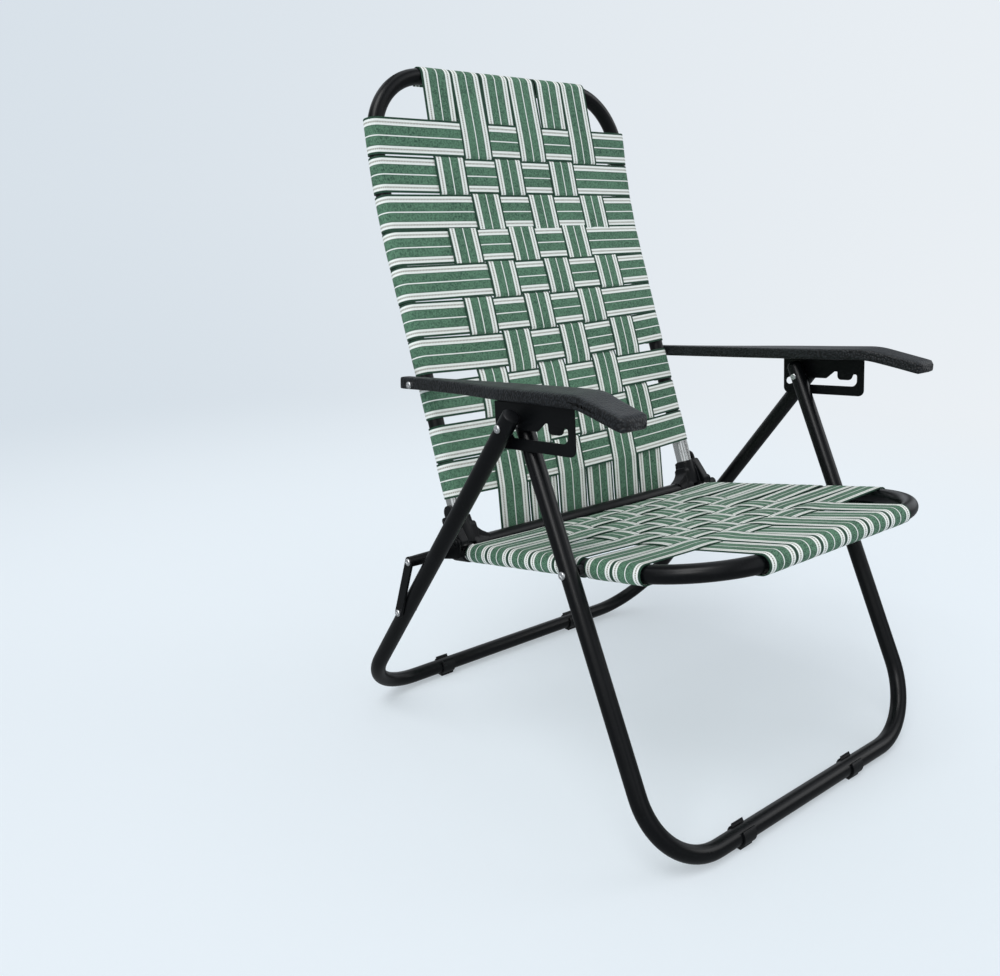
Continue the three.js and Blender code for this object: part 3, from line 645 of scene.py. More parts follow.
@dataclass(frozen=True)
class Pebble:
    """Moulded black plastic with a pebbled grain, smoother on faces that hands rub, with painted glints on
    its pebbles and painted light on its upward faces.
    """

    name: str
    colour: tuple[float, float, float] = (0.0030, 0.0036, 0.0042)
    cell: float = 3.0
    depth: float = 1.0
    # How much lighter the pebble tops are painted, as painted glints.
    glint: float = 9.0
    roughness: float = 0.4
    shine: float = 0.4

    def make(self) -> bpy.types.Material:
        """Builds the material."""
        board = Board(self.name)
        place = board.place()
        settings = {"feature": "SMOOTH_F1"}
        inputs = {"Vector": place, "Scale": 1000 / self.cell, "Smoothness": 0.55}
        cells = board.node("ShaderNodeTexVoronoi", settings, inputs)
        fine = board.noise(place, 1900.0, 2.0)
        # Upward faces: their bump is smoothed where hands rub, and their colour is painted lighter as painted
        # light from above.
        rubbed_and_paler = board.part(board.node("ShaderNodeTexCoord", output="Normal"), 2).over(0.8, 0.16)
        height = (1 - cells) * (1 - rubbed_and_paler * 0.5) + fine * 0.15
        # Pebble tops, painted lighter as painted glints.
        glint_tops = (1 - cells).over(0.55, 0.18)
        cloud = board.noise(place, 30.0, 3.0)
        bright = tuple(c * self.glint for c in self.colour)
        # Colour with the painted glints and the painted light on upward faces.
        glints_and_top_light = board.blend(glint_tops * 0.55 + rubbed_and_paler * 0.4, self.colour, bright)
        board.set(
            base_color=board.blend(cloud * 0.4, glints_and_top_light, self.colour),
            roughness=cloud * 0.12 + fine * 0.06 + self.roughness - 0.08,
            normal=board.relief(height, self.depth), specular_ior_level=self.shine,
        )
        return board.material


@dataclass(frozen=True)
class Plating:
    """Bright plating on small steel pieces: faint brushing, haze and grime in random patches."""

    name: str
    colour: tuple[float, float, float]
    roughness: float
    grime: float

    def make(self) -> bpy.types.Material:
        """Builds the material."""
        board = Board(self.name)
        place = board.place()
        cloud = board.noise(place, 240.0, 4.0)
        haze = board.noise(place, 60.0, 2.0)
        dirty = cloud.over(0.62, 0.1)
        board.set(
            base_color=board.blend(dirty * self.grime, self.colour, tuple(c * 0.45 for c in self.colour)),
            roughness=haze * 0.1 + dirty * 0.15 + self.roughness,
            normal=board.relief(cloud, 0.01), metallic=1.0,
        )
        return board.material


@dataclass(frozen=True)
class StripedWebbing:
    """Woven strip of flat plastic yarn, striped along its length by its UV map.

    The map's U runs across the strip from 0 to 1 and its V along it in metres.
    """

    name: str
    width: float
    green: tuple[float, float, float] = (0.098, 0.205, 0.130)
    # Darker copy of the green: the yarn's own flecks, and painted shade in the weave.
    fleck_and_shade_green: tuple[float, float, float] = (0.020, 0.058, 0.038)
    white: tuple[float, float, float] = (0.90, 0.935, 0.885)
    beige: tuple[float, float, float] = (0.30, 0.285, 0.245)
    # Dark green of the seams, and of the edge band, which also paints shade along the edges.
    rim: tuple[float, float, float] = (0.010, 0.040, 0.024)
    pick: float = 2.9
    end: float = 2.6
    # Width of the dark edge band, selvage with painted edge shade, as a share of the half width.
    selvage_and_edge_shade: float = 0.115
    inner: float = 0.55
    thread: float = 0.034

    def make(self) -> bpy.types.Material:
        """Builds the material."""
        board = Board(self.name)
        strip = board.node("ShaderNodeUVMap", {"uv_map": "Strip"})
        across, along = board.part(strip, 0), board.part(strip, 1)
        edge = (across - 0.5).size() * 2
        ends = across * (self.width / self.end)
        picks = along * (1000 / self.pick)
        odd = ends.wave(2.0).over(0.5, 0.3)
        weave = picks.wave(1.0) * odd + picks.wave(1.0, math.pi) * (1 - odd)
        furrow = (ends.wave(1.0) * 0.5 + 0.5) * (weave * 0.7 + 0.3)
        fleck = board.noise(board.place(), 330.0, 2.0)
        fade = board.noise(board.place(), 9.0, 3.0)
        # Picks the green or its darker copy by the weave and random flecks. The darker copy is partly the
        # yarn's own flecks and partly painted shade in the weave.
        shade = (weave * 0.3 + fleck * 1.5).over(0.82, 0.3)
        green = board.blend(shade, self.fleck_and_shade_green, self.green)
        green = board.blend(fade.over(0.5, 0.2) * 0.22, green, tuple(c * 1.5 for c in self.green))
        pale = board.blend(weave * 0.4 + fleck * 0.25, self.white, tuple(c * 0.66 for c in self.white))
        outer = 1 - self.selvage_and_edge_shade
        centre = (self.inner + outer) / 2
        stitches = picks.wave(1.0).over(0.42, 0.3) * 0.6 + 0.4
        pale = board.blend(edge.band(centre - 0.045, centre + 0.045, 0.018) * stitches, pale, self.beige)
        band = edge.band(self.inner, outer, 0.008) + (1 - edge.over(self.thread, 0.01))
        seams = edge.band(self.inner - 0.03, self.inner, 0.01) * 0.6
        seams = seams + edge.band(self.thread, self.thread + 0.028, 0.01) * 0.35
        body = board.blend(seams, board.blend(band, green, pale), self.rim)
        # Dark band along both edges: the yarn's dark selvage together with painted shade along the strip's
        # edges.
        colour = board.blend(edge.over(outer, 0.012) * (0.7 + weave * 0.3), body, self.rim)
        board.set(
            base_color=colour,
            roughness=0.66 - weave * 0.1 + fleck * 0.08,
            normal=board.relief(furrow + edge.over(0.94, 0.02) * 0.4, 0.3), sheen_weight=0.03,
            specular_ior_level=0.2,
        )
        return board.material


@dataclass
class Finishes:
    """Every finish of the chair, by the pieces that wear it."""

    tube: bpy.types.Material = field(default_factory=Enamel("tube_enamel").make)
    sheet: bpy.types.Material = field(
        default_factory=Enamel("sheet_enamel", (0.0022, 0.0027, 0.0033), 0.42, 0.02, 0.2).make)
    pad: bpy.types.Material = field(default_factory=Pebble("arm_pad_pebble").make)
    cast: bpy.types.Material = field(
        default_factory=Pebble("casting_satin", (0.0022, 0.0027, 0.0034), 2.6, 0.03, 1.6, 0.36, 0.26).make)
    clip: bpy.types.Material = field(
        default_factory=Pebble("foot_clip_plastic", (0.0028, 0.0033, 0.0040), 1.6, 0.1, 2.0, 0.42, 0.3).make)
    chrome: bpy.types.Material = field(
        default_factory=Plating("chrome_sleeve", (0.80, 0.81, 0.79), 0.12, 0.35).make)
    zinc: bpy.types.Material = field(
        default_factory=Plating("zinc_screw", (0.82, 0.83, 0.84), 0.28, 0.45).make)
    cross_web: bpy.types.Material = field(default_factory=StripedWebbing("web_cross", 51.0).make)
    long_web: bpy.types.Material = field(default_factory=StripedWebbing("web_long", 56.0).make)
    seat_web: bpy.types.Material = field(default_factory=StripedWebbing("web_seat", 47.8).make)


@dataclass
class Fitter:
    """Dresses finished pieces and hangs them on their bodies."""

    finishes: Finishes

    def fit(
        self, piece: bpy.types.Object, finish: bpy.types.Material, body: str, slot: str, *nodes: str
    ) -> bpy.types.Object:
        """Gives a piece its finish and body, and hides the nodes that it stands for.

        Args:
            piece: The piece.
            finish: Its material.
            body: The body that it rides on.
            slot: The record's material slot; not used.
            nodes: The CAD nodes that it replaces.

        Returns:
            The piece.
        """
        piece.data.materials.clear()
        piece.data.materials.append(finish)
        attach(piece, body)
        if nodes:
            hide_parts(*nodes)
        LOG.info("%s rides on %s, %d faces", piece.name, body, len(piece.data.polygons))
        return piece


# Frame


@dataclass
class TubeFrame:
    """The bent tubes: two U legs, the seat's loop, the back's loop and their cross bars."""

    fitter: Fitter
    leg_corner: float = 112.0
    seat_corner: float = 137.0
    back_corner: float = 108.0
    front_leg_end: float = 19.0
    rear_leg_end: float = 21.0
    back_foot: float = -60.0
    foot_bar_half: float = 258.0
    corner_steps: int = 22
    bend_steps: int = 16

    def _loop(
        self, name: str, line: SideLine, half: float, corner: float, reach: float, cap: bool
    ) -> bpy.types.Object:
        """A U in a slanted plane, from one end to the other.

        Args:
            name: The piece's name.
            line: The line of its legs, from the bar to their ends.
            half: Half its width.
            corner: Radius of its corners.
            reach: Length of its legs.
            cap: Whether its ends are rounded.

        Returns:
            The tube.
        """
        dome = [(0.7, 1.75), (1.3, 1.3), (2.0, 1.14), (3.0, 1.1)] if cap else []
        rise, first = sum(step for step, _ in dome), math.prod(scale for _, scale in dome)
        pen = TubePen(line.point(reach + rise, 0, -half), -line.along, PLAN.tube / first)
        pen.profile(dome).straight(reach - corner)
        pen.bend(corner, ACROSS, 90, self.corner_steps)
        pen.straight(2 * (half - corner))
        pen.bend(corner, line.along, 90, self.corner_steps)
        pen.straight(reach - corner)
        pen.profile((step, 1 / scale) for step, scale in reversed(dome))
        return pen.finish(name)

    def build(self) -> None:
        """Builds every tube and fits it."""
        bend, rod_half = self.leg_corner, PLAN.seat_half - PLAN.tube - PLAN.gap
        front_reach = PLAN.front_leg_length + self.front_leg_end
        rear_reach = PLAN.rear_leg_length + self.rear_leg_end
        for body, name, *shape in (
            ("front_leg", "front_leg_bar", PLAN.front_leg, PLAN.front_half, bend, front_reach, True),
            ("rear_leg", "rear_leg_bar", PLAN.rear_leg, PLAN.rear_half, bend, rear_reach, False),
            ("seat", "seat_loop", PLAN.seat, PLAN.seat_half, self.seat_corner, PLAN.seat_length, False),
        ):
            self._fit(self._loop(name, *shape), body, f"{body}_tube")
        self._fit(self._back_loop(), "back", "back_tube")
        self._bar("seat_rear_rod", PLAN.seat, PLAN.rod_at, rod_half, PLAN.rod, "seat_rear_bar")
        self._bar(
            "back_foot_rod", PLAN.back, PLAN.foot_bar_at, self.foot_bar_half, PLAN.tube, "back_foot_bar")

    def _fit(self, piece: bpy.types.Object, body: str, node: str) -> None:
        """Fits a tube in its black enamel."""
        self.fitter.fit(piece, self.fitter.finishes.tube, body, "black_tube", node)

    def _bar(self, name: str, line: SideLine, at: float, half: float, radius: float, node: str) -> None:
        """Builds and fits a straight bar across a loop, on the body that its name begins with."""
        bar = TubePen(line.point(at, 0, -half), ACROSS, radius).straight(2 * half)
        self._fit(bar.finish(name), name.split("_")[0], node)

    def _back_loop(self) -> bpy.types.Object:
        """The back's loop, with its bend towards the front."""
        line, half = PLAN.back, PLAN.back_half
        arc = math.radians(PLAN.back_bend) * PLAN.back_bend_radius
        rest = PLAN.back_top - PLAN.back_bend_at - arc - self.back_corner
        pen = TubePen(line.point(self.back_foot, 0, -half), line.along, PLAN.tube)
        pen.straight(PLAN.back_bend_at - self.back_foot)
        pen.bend(PLAN.back_bend_radius, line.off, PLAN.back_bend, self.bend_steps)
        rise = pen.heading.copy()
        pen.straight(rest)
        pen.bend(self.back_corner, ACROSS, 90, self.corner_steps)
        pen.straight(2 * (half - self.back_corner))
        pen.bend(self.back_corner, -rise, 90, self.corner_steps)
        pen.straight(rest)
        pen.bend(PLAN.back_bend_radius, line.off, PLAN.back_bend, self.bend_steps)
        pen.straight(PLAN.back_bend_at - self.back_foot)
        return pen.finish("back_loop")


# Webbing


@dataclass
class WebStrip:
    """One strip along a path of points, with a steady width direction."""

    name: str
    path: list[Vector]
    wide: Vector
    width: float
    facing: Vector
    ends: Pair = (1.0, 1.0)
    crown: float = 0.25
    columns: int = 8
    dip: float = 0.0

    def spread(self, along: float) -> float:
        """The strip's share of its full width, gathered over the quarters at its ends."""
        first, last = (max(0.0, 1 - 4 * share) ** 2 for share in (along, 1 - along))
        return 1 - (1 - self.ends[0]) * first - (1 - self.ends[1]) * last

    def length(self) -> float:
        """The path's length in metres."""
        return sum((b - a).length for a, b in zip(self.path, self.path[1:]))

    def build(self) -> bpy.types.Object:
        """Lays a grid along the path and gives it its thickness."""
        rows = len(self.path) - 1
        middle = rows // 2
        runs, normals = [0.0], []
        for index in range(rows + 1):
            ahead = self.path[min(index + 1, rows)] - self.path[max(index - 1, 0)]
            normals.append(ahead.cross(self.wide).normalized())
            if index:
                runs.append(runs[-1] + (self.path[index] - self.path[index - 1]).length)
        flip = 1.0 if normals[middle].dot(self.facing) > 0 else -1.0

        def point(across: float, along: float) -> Vector:
            """The place of a share across and a share along, crowned and with its dip."""
            row, side = round(along * rows), 2 * across - 1
            step = self.wide * (across - 0.5) * self.width * self.spread(along) * MM
            rise = flip * self.crown * MM * (0.5 - side**2)
            drop = self.facing * self.dip * MM * max(0.0, side) ** 2 * math.sin(math.pi * along) ** 2
            return self.path[row] + step - drop + normals[row] * rise

        piece = lofted(self.name, rows, self.columns, point, False, 80)
        layer = piece.data.uv_layers[0]
        layer.name = "Strip"
        for entry in layer.data:
            entry.uv.y = runs[round(entry.uv.y * rows)]
        Bench.apply(piece, "SOLIDIFY", thickness=PLAN.web * MM, offset=0.0, use_even_offset=True)
        bpy.ops.object.shade_smooth_by_angle(angle=math.radians(50))
        return piece


@dataclass
class Weave:
    """Strips over and under each other, wrapped round the tubes at their ends."""

    fitter: Fitter
    clearance: float = 0.4
    tail: float = 12.0
    step: float = 0.85
    long_count: int = 6
    wrap_steps: int = 16
    bar_steps: int = 10
    crossing_shares: tuple[float, ...] = (-1.0, -0.86, -0.65, -0.4, -0.14, 0.14, 0.4, 0.65, 0.86, 1.0)

    def around(self, bar: float) -> float:
        """Radius of a strip's middle round a bar of a radius."""
        return bar + self.clearance + PLAN.web / 2

    @property
    def wrap(self) -> float:
        """Radius of a strip's middle round a tube."""
        return self.around(PLAN.tube)

    def heights(self, places: Sequence[float], half: float, over_first: bool, bulge: float) -> list[Pair]:
        """Heights of a strip over the weave's middle, along a rising coordinate.

        Args:
            places: Middles of the strips that it crosses.
            half: Half their width.
            over_first: Whether it lies over the first one.
            bulge: How far it stands proud at the middle of a crossing.

        Returns:
            Coordinate and height of each point.
        """
        points: list[Pair] = []
        for index, place in enumerate(places):
            sign = 1.0 if (index % 2 == 0) == over_first else -1.0
            for share in self.crossing_shares:
                points.append((place + share * half, sign * (self.step + bulge * (1 - share * share))))
        return points

    def round(
        self, centre: Vector, up: Vector, out: Vector, start: float, end: float, radius: float, steps: int
    ) -> list[Vector]:
        """Points of a strip's middle round a bar.

        Args:
            centre: The bar's middle.
            up: The way of angle 0.
            out: The way of a quarter turn.
            start: First angle in degrees.
            end: Last angle in degrees.
            radius: Radius in millimetres.
            steps: Number of steps.

        Returns:
            The points.
        """
        turns = (math.radians(mix(start, end, k / steps)) for k in range(steps + 1))
        return [centre + (up * math.cos(t) + out * math.sin(t)) * radius * MM for t in turns]

    def across(self, ends: Sequence[Vector], up: Vector, radius: float, inner: list[Vector]) -> list[Vector]:
        """A cross strip's path, wrapped round both side tubes.

        Args:
            ends: The tubes' middles, left and right.
            up: The way to the face that is sat on.
            radius: Radius of the strip's middle round them.
            inner: The path between them.

        Returns:
            The path with a tail at each end.
        """
        tail = ACROSS * self.tail * MM
        path = self.round(ends[0], up, -ACROSS, 180, 0, radius, self.wrap_steps) + inner
        path += self.round(ends[1], up, ACROSS, 0, 180, radius, self.wrap_steps)
        return [path[0] + tail, *path, path[-1] - tail]

    def fit(self, strip: WebStrip, finish: bpy.types.Material, rests: list[str]) -> None:
        """Builds a strip and fits it on the body and the node that its name tells."""
        length, node = strip.length(), strip.name.replace("strip", "web")
        piece = self.fitter.fit(strip.build(), finish, node.split("_")[0], "webbing", node)
        strip.width * MM
        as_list(rests)


@dataclass
class BackWeave(Weave):
    """The back's ten cross strips and six long strips."""

    cross_width: float = 57.4
    cross_ends: Pair = (0.94, 0.94)
    long_width: float = 61.8
    long_ends: Pair = (0.94, 1.07)
    places: tuple[Pair, ...] = (
        (580.5, 580.0), (520.5, 519.5), (459.5, 461.0), (401.5, 406.5), (343.5, 350.5),
        (285.5, 292.5), (227.5, 236.5), (156.5, 163.5), (88.0, 101.0), (30.0, 41.5))
    give: tuple[float, ...] = (0.0, 0.0, 0.0, 0.0, 1.5, 4.0, 7.5, 2.5, 5.0, 5.5)
    head: tuple[float, ...] = (-146.0, -87.0, -24.5, 34.0, 99.5, 158.0)
    middle: tuple[float, ...] = (-141.0, -76.0, -13.5, 49.5, 112.5, 174.5)
    foot: tuple[float, ...] = (-154.0, -87.5, -21.0, 46.0, 112.5, 179.0)
    middle_at: float = 430.0
    lower_shift: float = -11.0
    lower_at: float = 30.0
    lower_run: float = 60.0
    lower_power: float = 1.6
    foot_turn: Pair = (165.0, 290.0)
    over_sleeve: float = 1.0
    over_bend: float = 0.45
    bulge: float = 0.55

    def row(self, index: int, x: float) -> float:
        """Distance along the back of a cross strip's middle at an X."""
        left, right = self.places[index]
        give = self.give[index] * max(0.0, 1 - (x / PLAN.back_half) ** 2)
        return mix(left, right, (x + PLAN.back_half) / (2 * PLAN.back_half)) - give

    def column(self, index: int, distance: float) -> float:
        """X of a long strip at a distance along the back.

        A curve through its three known places, moved over where the strip nears the foot bar.
        """
        known = ((PLAN.back_top, self.head), (self.middle_at, self.middle), (PLAN.foot_bar_at, self.foot))
        fall = max(0.0, (self.middle_at - distance) / (self.middle_at - self.lower_at)) ** self.lower_power
        x = self.lower_shift * fall * min((distance - PLAN.foot_bar_at) / self.lower_run, 1.0)
        for at, places in known:
            x += places[index] * math.prod(
                (distance - other) / (at - other) for other, _ in known if other != at)
        return x

    def frame(self, distance: float) -> tuple[Vector, Vector, Vector]:
        """The back's middle line: its place, its way up and its way to the front."""
        past, radius = distance - PLAN.back_bend_at, PLAN.back_bend_radius
        straight = math.radians(90 - PLAN.back.angle)
        turn = min(max(past / radius, 0.0), math.radians(PLAN.back_bend))
        lean = straight - turn
        along = Vector((0, math.sin(lean), math.cos(lean)))
        front = Vector((0, -math.cos(lean), math.sin(lean)))
        place = PLAN.back.point(min(distance, PLAN.back_bend_at))
        if turn > 0:
            reach = Vector((0, math.cos(lean) - math.cos(straight), math.sin(straight) - math.sin(lean)))
            place += reach * radius * MM
        return place + along * max(past - turn * radius, 0.0) * MM, along, front

    def _cross(self, row: int) -> WebStrip:
        """One cross strip."""
        distance = self.row(row, 0)
        along, front = self.frame(distance)[1:]
        over = self.over_bend if distance + self.cross_width > PLAN.back_bend_at else 0.0
        radius = self.wrap + (self.over_sleeve if row == len(self.places) - 1 else over)
        half = PLAN.back_half
        ends = [self.frame(self.row(row, x))[0] + ACROSS * x * MM for x in (-half, half)]
        columns = [self.column(index, distance) for index in range(self.long_count)]
        inner = []
        for x, height in self.heights(columns, self.long_width / 2, row % 2 == 0, self.bulge):
            rise = front * (self.wrap + self.clearance + height) * MM
            inner.append(self.frame(self.row(row, x))[0] + ACROSS * x * MM + rise)
        path = self.across(ends, front, radius, inner)
        return WebStrip(f"back_cross_strip_{row + 1}", path, along, self.cross_width, front, self.cross_ends)

    def _long(self, column: int) -> WebStrip:
        """One long strip, from behind the top bar to under the foot bar."""
        place, along, front = self.frame(PLAN.back_top)
        shift = ACROSS * self.column(column, PLAN.back_top) * MM
        path = self.round(place + shift, front, along, 180, 0, self.wrap, self.wrap_steps)
        path.insert(0, path[0] - along * self.tail * MM)
        x = self.column(column, self.middle_at)
        rows = [-self.row(index, x) for index in range(len(self.places))]
        for key, height in self.heights(rows, self.cross_width / 2, column % 2 == 1, self.bulge):
            place, along, front = self.frame(-key)
            shift = ACROSS * self.column(column, -key) * MM
            path.append(place + shift + front * (self.wrap + self.clearance + height) * MM)
        foot = PLAN.back.point(PLAN.foot_bar_at, 0, self.column(column, PLAN.foot_bar_at))
        path += self.round(foot, front, PLAN.back.along, *self.foot_turn, self.wrap, self.bar_steps)
        return WebStrip(f"back_long_strip_{column + 1}", path, ACROSS, self.long_width, front, self.long_ends)

    def build(self) -> None:
        """Builds and fits every strip of the back."""
        for row in range(len(self.places)):
            self.fit(self._cross(row), self.fitter.finishes.cross_web, ["back_loop"])
        for column in range(self.long_count):
            self.fit(self._long(column), self.fitter.finishes.long_web, ["back_loop", "back_foot_rod"])


@dataclass
class SeatWeave(Weave):
    """The seat's seven cross strips and six long strips."""

    width: float = 47.8
    full_width: float = 50.6
    cross_ends: Pair = (0.95, 0.95)
    long_width: float = 56.6
    long_ends: Pair = (1.0, 0.93)
    cross_pitch: float = 49.6
    front_pitch: float = 56.3
    front_shift: float = -14.0
    rear_pitch: float = 53.6
    draw: float = 3.5
    sag: float = 7.0
    rear_drop: float = 3.4
    rear_dip: float = 6.0
    rear_shift: float = -2.0
    rear_from_share: float = 0.85
    pivot_at: float = 206.6
    spacer: float = 7.0
    row_count: int = 7
    crossing_inset: float = 3.0
    rear_turn: Pair = (52.0, 180.0)
    bulge: float = 1.2

    def middle(self, index: int) -> float:
        """Distance along the seat of a cross strip's middle, with the pivot's gap after the second one."""
        if index < 2:
            return self.pivot_at - self.spacer - self.width / 2 - (1 - index) * self.cross_pitch
        return self.pivot_at + self.spacer + self.width / 2 + (index - 2) * self.cross_pitch

    def row(self, index: int, x: float) -> float:
        """That distance at an X, as two strips close the pivot's gap between the tubes and the last moves."""
        close = {1: self.draw, 2: -self.draw, self.row_count - 1: self.rear_shift}.get(index, 0.0)
        return self.middle(index) + close * max(0.0, 1 - (x / PLAN.seat_half) ** 2) ** 0.5

    def column(self, index: int, share: float) -> float:
        """X of a long strip at a share of the way from the front to the rear."""
        place = index - (self.long_count - 1) / 2
        return mix(place * self.front_pitch + self.front_shift, place * self.rear_pitch, share)

    def surface(self, distance: float, x: float, height: float) -> Vector:
        """A point over the seat line, lowered where the webbing gives and where the rear rod is thinner."""
        run, side = distance / PLAN.rod_at, x / PLAN.seat_half
        give = self.sag * math.sin(math.pi * min(max(run, 0.0), 1.0)) * (1 - side**2)
        drop = self.rear_drop * max(0.0, (run - self.rear_from_share) / (1 - self.rear_from_share)) ** 2
        off = self.wrap + self.clearance + height - give - drop * max(0.0, 1 - side**4)
        return PLAN.seat.point(distance, off, x)

    def _cross(self, index: int) -> WebStrip:
        """One cross strip."""
        place, up = PLAN.seat.point(self.middle(index)), PLAN.seat.off
        ends = [place + ACROSS * sign * PLAN.seat_half * MM for sign in (-1, 1)]
        last = self.row_count - 1
        columns = [self.column(k, index / last) for k in range(self.long_count)]
        heights = self.heights(columns, self.long_width / 2, index % 2 == 0, self.bulge)
        places = [self.surface(self.row(index, x), x, rise) for x, rise in heights]
        path = self.across(ends, up, self.wrap, places)
        return WebStrip(
            f"seat_cross_strip_{index + 1}", path, PLAN.seat.along, self.full_width, up, self.cross_ends,
            dip=self.rear_dip if index == last else 0.0)

    def _long(self, column: int) -> WebStrip:
        """One long strip, from under the front bar to under the rear rod."""
        rear, up = PLAN.seat.along, PLAN.seat.off
        at_rear = self.column(column, 1.0)
        path = self.round(
            PLAN.seat.point(0, 0, self.column(column, 0.0)), up, rear, -180, 0, self.wrap, self.wrap_steps)
        path.insert(0, path[0] + rear * self.tail * MM)
        rows = [self.row(index, at_rear) for index in range(self.row_count)]
        half = self.width / 2 - self.crossing_inset
        for key, height in self.heights(rows, half, column % 2 == 1, self.bulge):
            path.append(self.surface(key, self.column(column, key / PLAN.seat_length), height))
        bar = PLAN.seat.point(PLAN.rod_at, 0, at_rear)
        path += self.round(bar, up, rear, *self.rear_turn, self.around(PLAN.rod), self.bar_steps)
        path.append(path[-1] - rear * self.tail * MM)
        return WebStrip(f"seat_long_strip_{column + 1}", path, ACROSS, self.long_width, up, self.long_ends)

    def build(self) -> None:
        """Builds and fits every strip of the seat."""
        finish = self.fitter.finishes.seat_web
        for index in range(self.row_count):
            self.fit(self._cross(index), finish, ["seat_loop"])
        for column in range(self.long_count):
            self.fit(self._long(column), finish, ["seat_loop", "seat_rear_rod"])


# Fasteners


@dataclass
class Fasteners:
    """Pan-head screws with cross slots, their nuts, spacers and the pin's roller."""

    fitter: Fitter
    shaft: float = 3.0
    head: float = 5.7
    head_height: float = 3.0
    slot: tuple[float, float, float] = (2.6, 7.4, 1.35)
    slot_turn: float = 0.35
    nut: float = 5.5
    roller: float = 4.0
    spacer: float = 7.4

    def screw_head(self, place: Pair, x: float, side: Side) -> bpy.types.Object:
        """A pan head that faces outwards, with its cross slot.

        Args:
            place: Y and Z of its middle.
            x: Distance of its seat from the middle plane.
            side: The chair's side.

        Returns:
            The head.
        """
        out = ACROSS * side.value
        start = spot(x * side.value, *place)
        tall, wide = self.head_height, self.head
        profile = [(-0.3, wide * 0.9), (0.0, wide), (tall * 0.4, wide), (tall * 0.65, wide * 0.93),
                   (tall * 0.85, wide * 0.78), (tall * 0.96, wide * 0.5), (tall, wide * 0.2)]
        head = turned("pan_head", start, out, profile, 32)
        for turn in (self.slot_turn, self.slot_turn + math.pi / 2):
            Bench.clear()
            bpy.ops.mesh.primitive_cube_add(size=MM, location=start + out * tall * MM, rotation=(turn, 0, 0))
            bpy.ops.transform.resize(value=self.slot)
            bpy.ops.object.transform_apply(location=True, rotation=True, scale=True)
            Bench.combine("DIFFERENCE", head, bpy.context.object)
        return head

    def nut_end(self, place: Pair, x: float, side: Side) -> bpy.types.Object:
        """A hexagon nut that faces inwards, with the screw's end."""
        back = -ACROSS * side.value
        start = spot(x * side.value, *place)
        wide, thin = self.nut, self.shaft
        nut = turned("hex_nut", start, back, [(-0.3, wide), (2.4, wide), (3.0, wide * 0.86)], 6)
        stub = turned("screw_end", start, back, [(2.0, thin), (3.0, thin), (3.4, thin * 0.7)], 20)
        return Bench.join("nut_end", nut, stub)

    def shank(self, place: Pair, x_from: float, x_to: float, side: Side, radius: float) -> bpy.types.Object:
        """A plain round length between two distances from the middle plane."""
        length, rim = x_to - x_from, radius * 0.95
        profile = [(0.0, rim), (0.2, radius), (length - 0.2, radius), (length, rim)]
        return turned("shank", spot(x_from * side.value, *place), ACROSS * side.value, profile, 24)

    def pin(
        self, name: str, place: Pair, inner: float, outer: float, side: Side, roller: Pair | None = None
    ) -> bpy.types.Object:
        """A whole bolt through its pieces.

        Args:
            name: Its name.
            place: Y and Z of its axis.
            inner: Distance of the nut's seat from the middle plane.
            outer: Distance of the head's seat.
            side: The chair's side.
            roller: From and to of a roller on it.

        Returns:
            The bolt.
        """
        pieces = [
            self.shank(place, inner, outer, side, self.shaft), self.screw_head(place, outer, side),
            self.nut_end(place, inner, side)]
        if roller:
            pieces.append(self.shank(place, *roller, side, self.roller))
        return Bench.join(name, *pieces)

    def build(self) -> None:
        """Builds the bolts that are nodes of their own, and the seat's spacers."""
        zinc, reach = self.fitter.finishes.zinc, PLAN.tube + PLAN.gap
        front_in, rear_in, seat_in = (
            half - reach for half in (PLAN.front_half, PLAN.rear_half, PLAN.seat_half))
        front_out, rear_out, seat_out = (inner + 2 * reach for inner in (front_in, rear_in, seat_in))
        for side in Side:
            piece = self.pin(side.node("leg_pin"), PLAN.pin, front_in, rear_out, side, (front_out, rear_in))
            self.fitter.fit(piece, zinc, "front_leg", "zinc", side.node("common_pin"))
            piece = self.pin(side.node("seat_bolt"), PLAN.seat_pivot, seat_in, front_out, side)
            self.fitter.fit(piece, zinc, "front_leg", "zinc", side.node("seat_pivot_bolt"))
            # The seat's spacer is black plastic; its black also stands as painted shade for the dark gap
            # between leg and seat tube.
            piece = self.shank(PLAN.seat_pivot, seat_out, front_in, side, self.spacer)
            piece.name = side.node("seat_spacer")
            self.fitter.fit(piece, self.fitter.finishes.clip, "front_leg", "black_plastic")
            piece = self.pin(side.node("link_bolt"), PLAN.link_foot, rear_in, PLAN.link_outer, side)
            self.fitter.fit(piece, zinc, "rear_leg", "zinc", side.node("link_pivot_bolt"))


# Arms


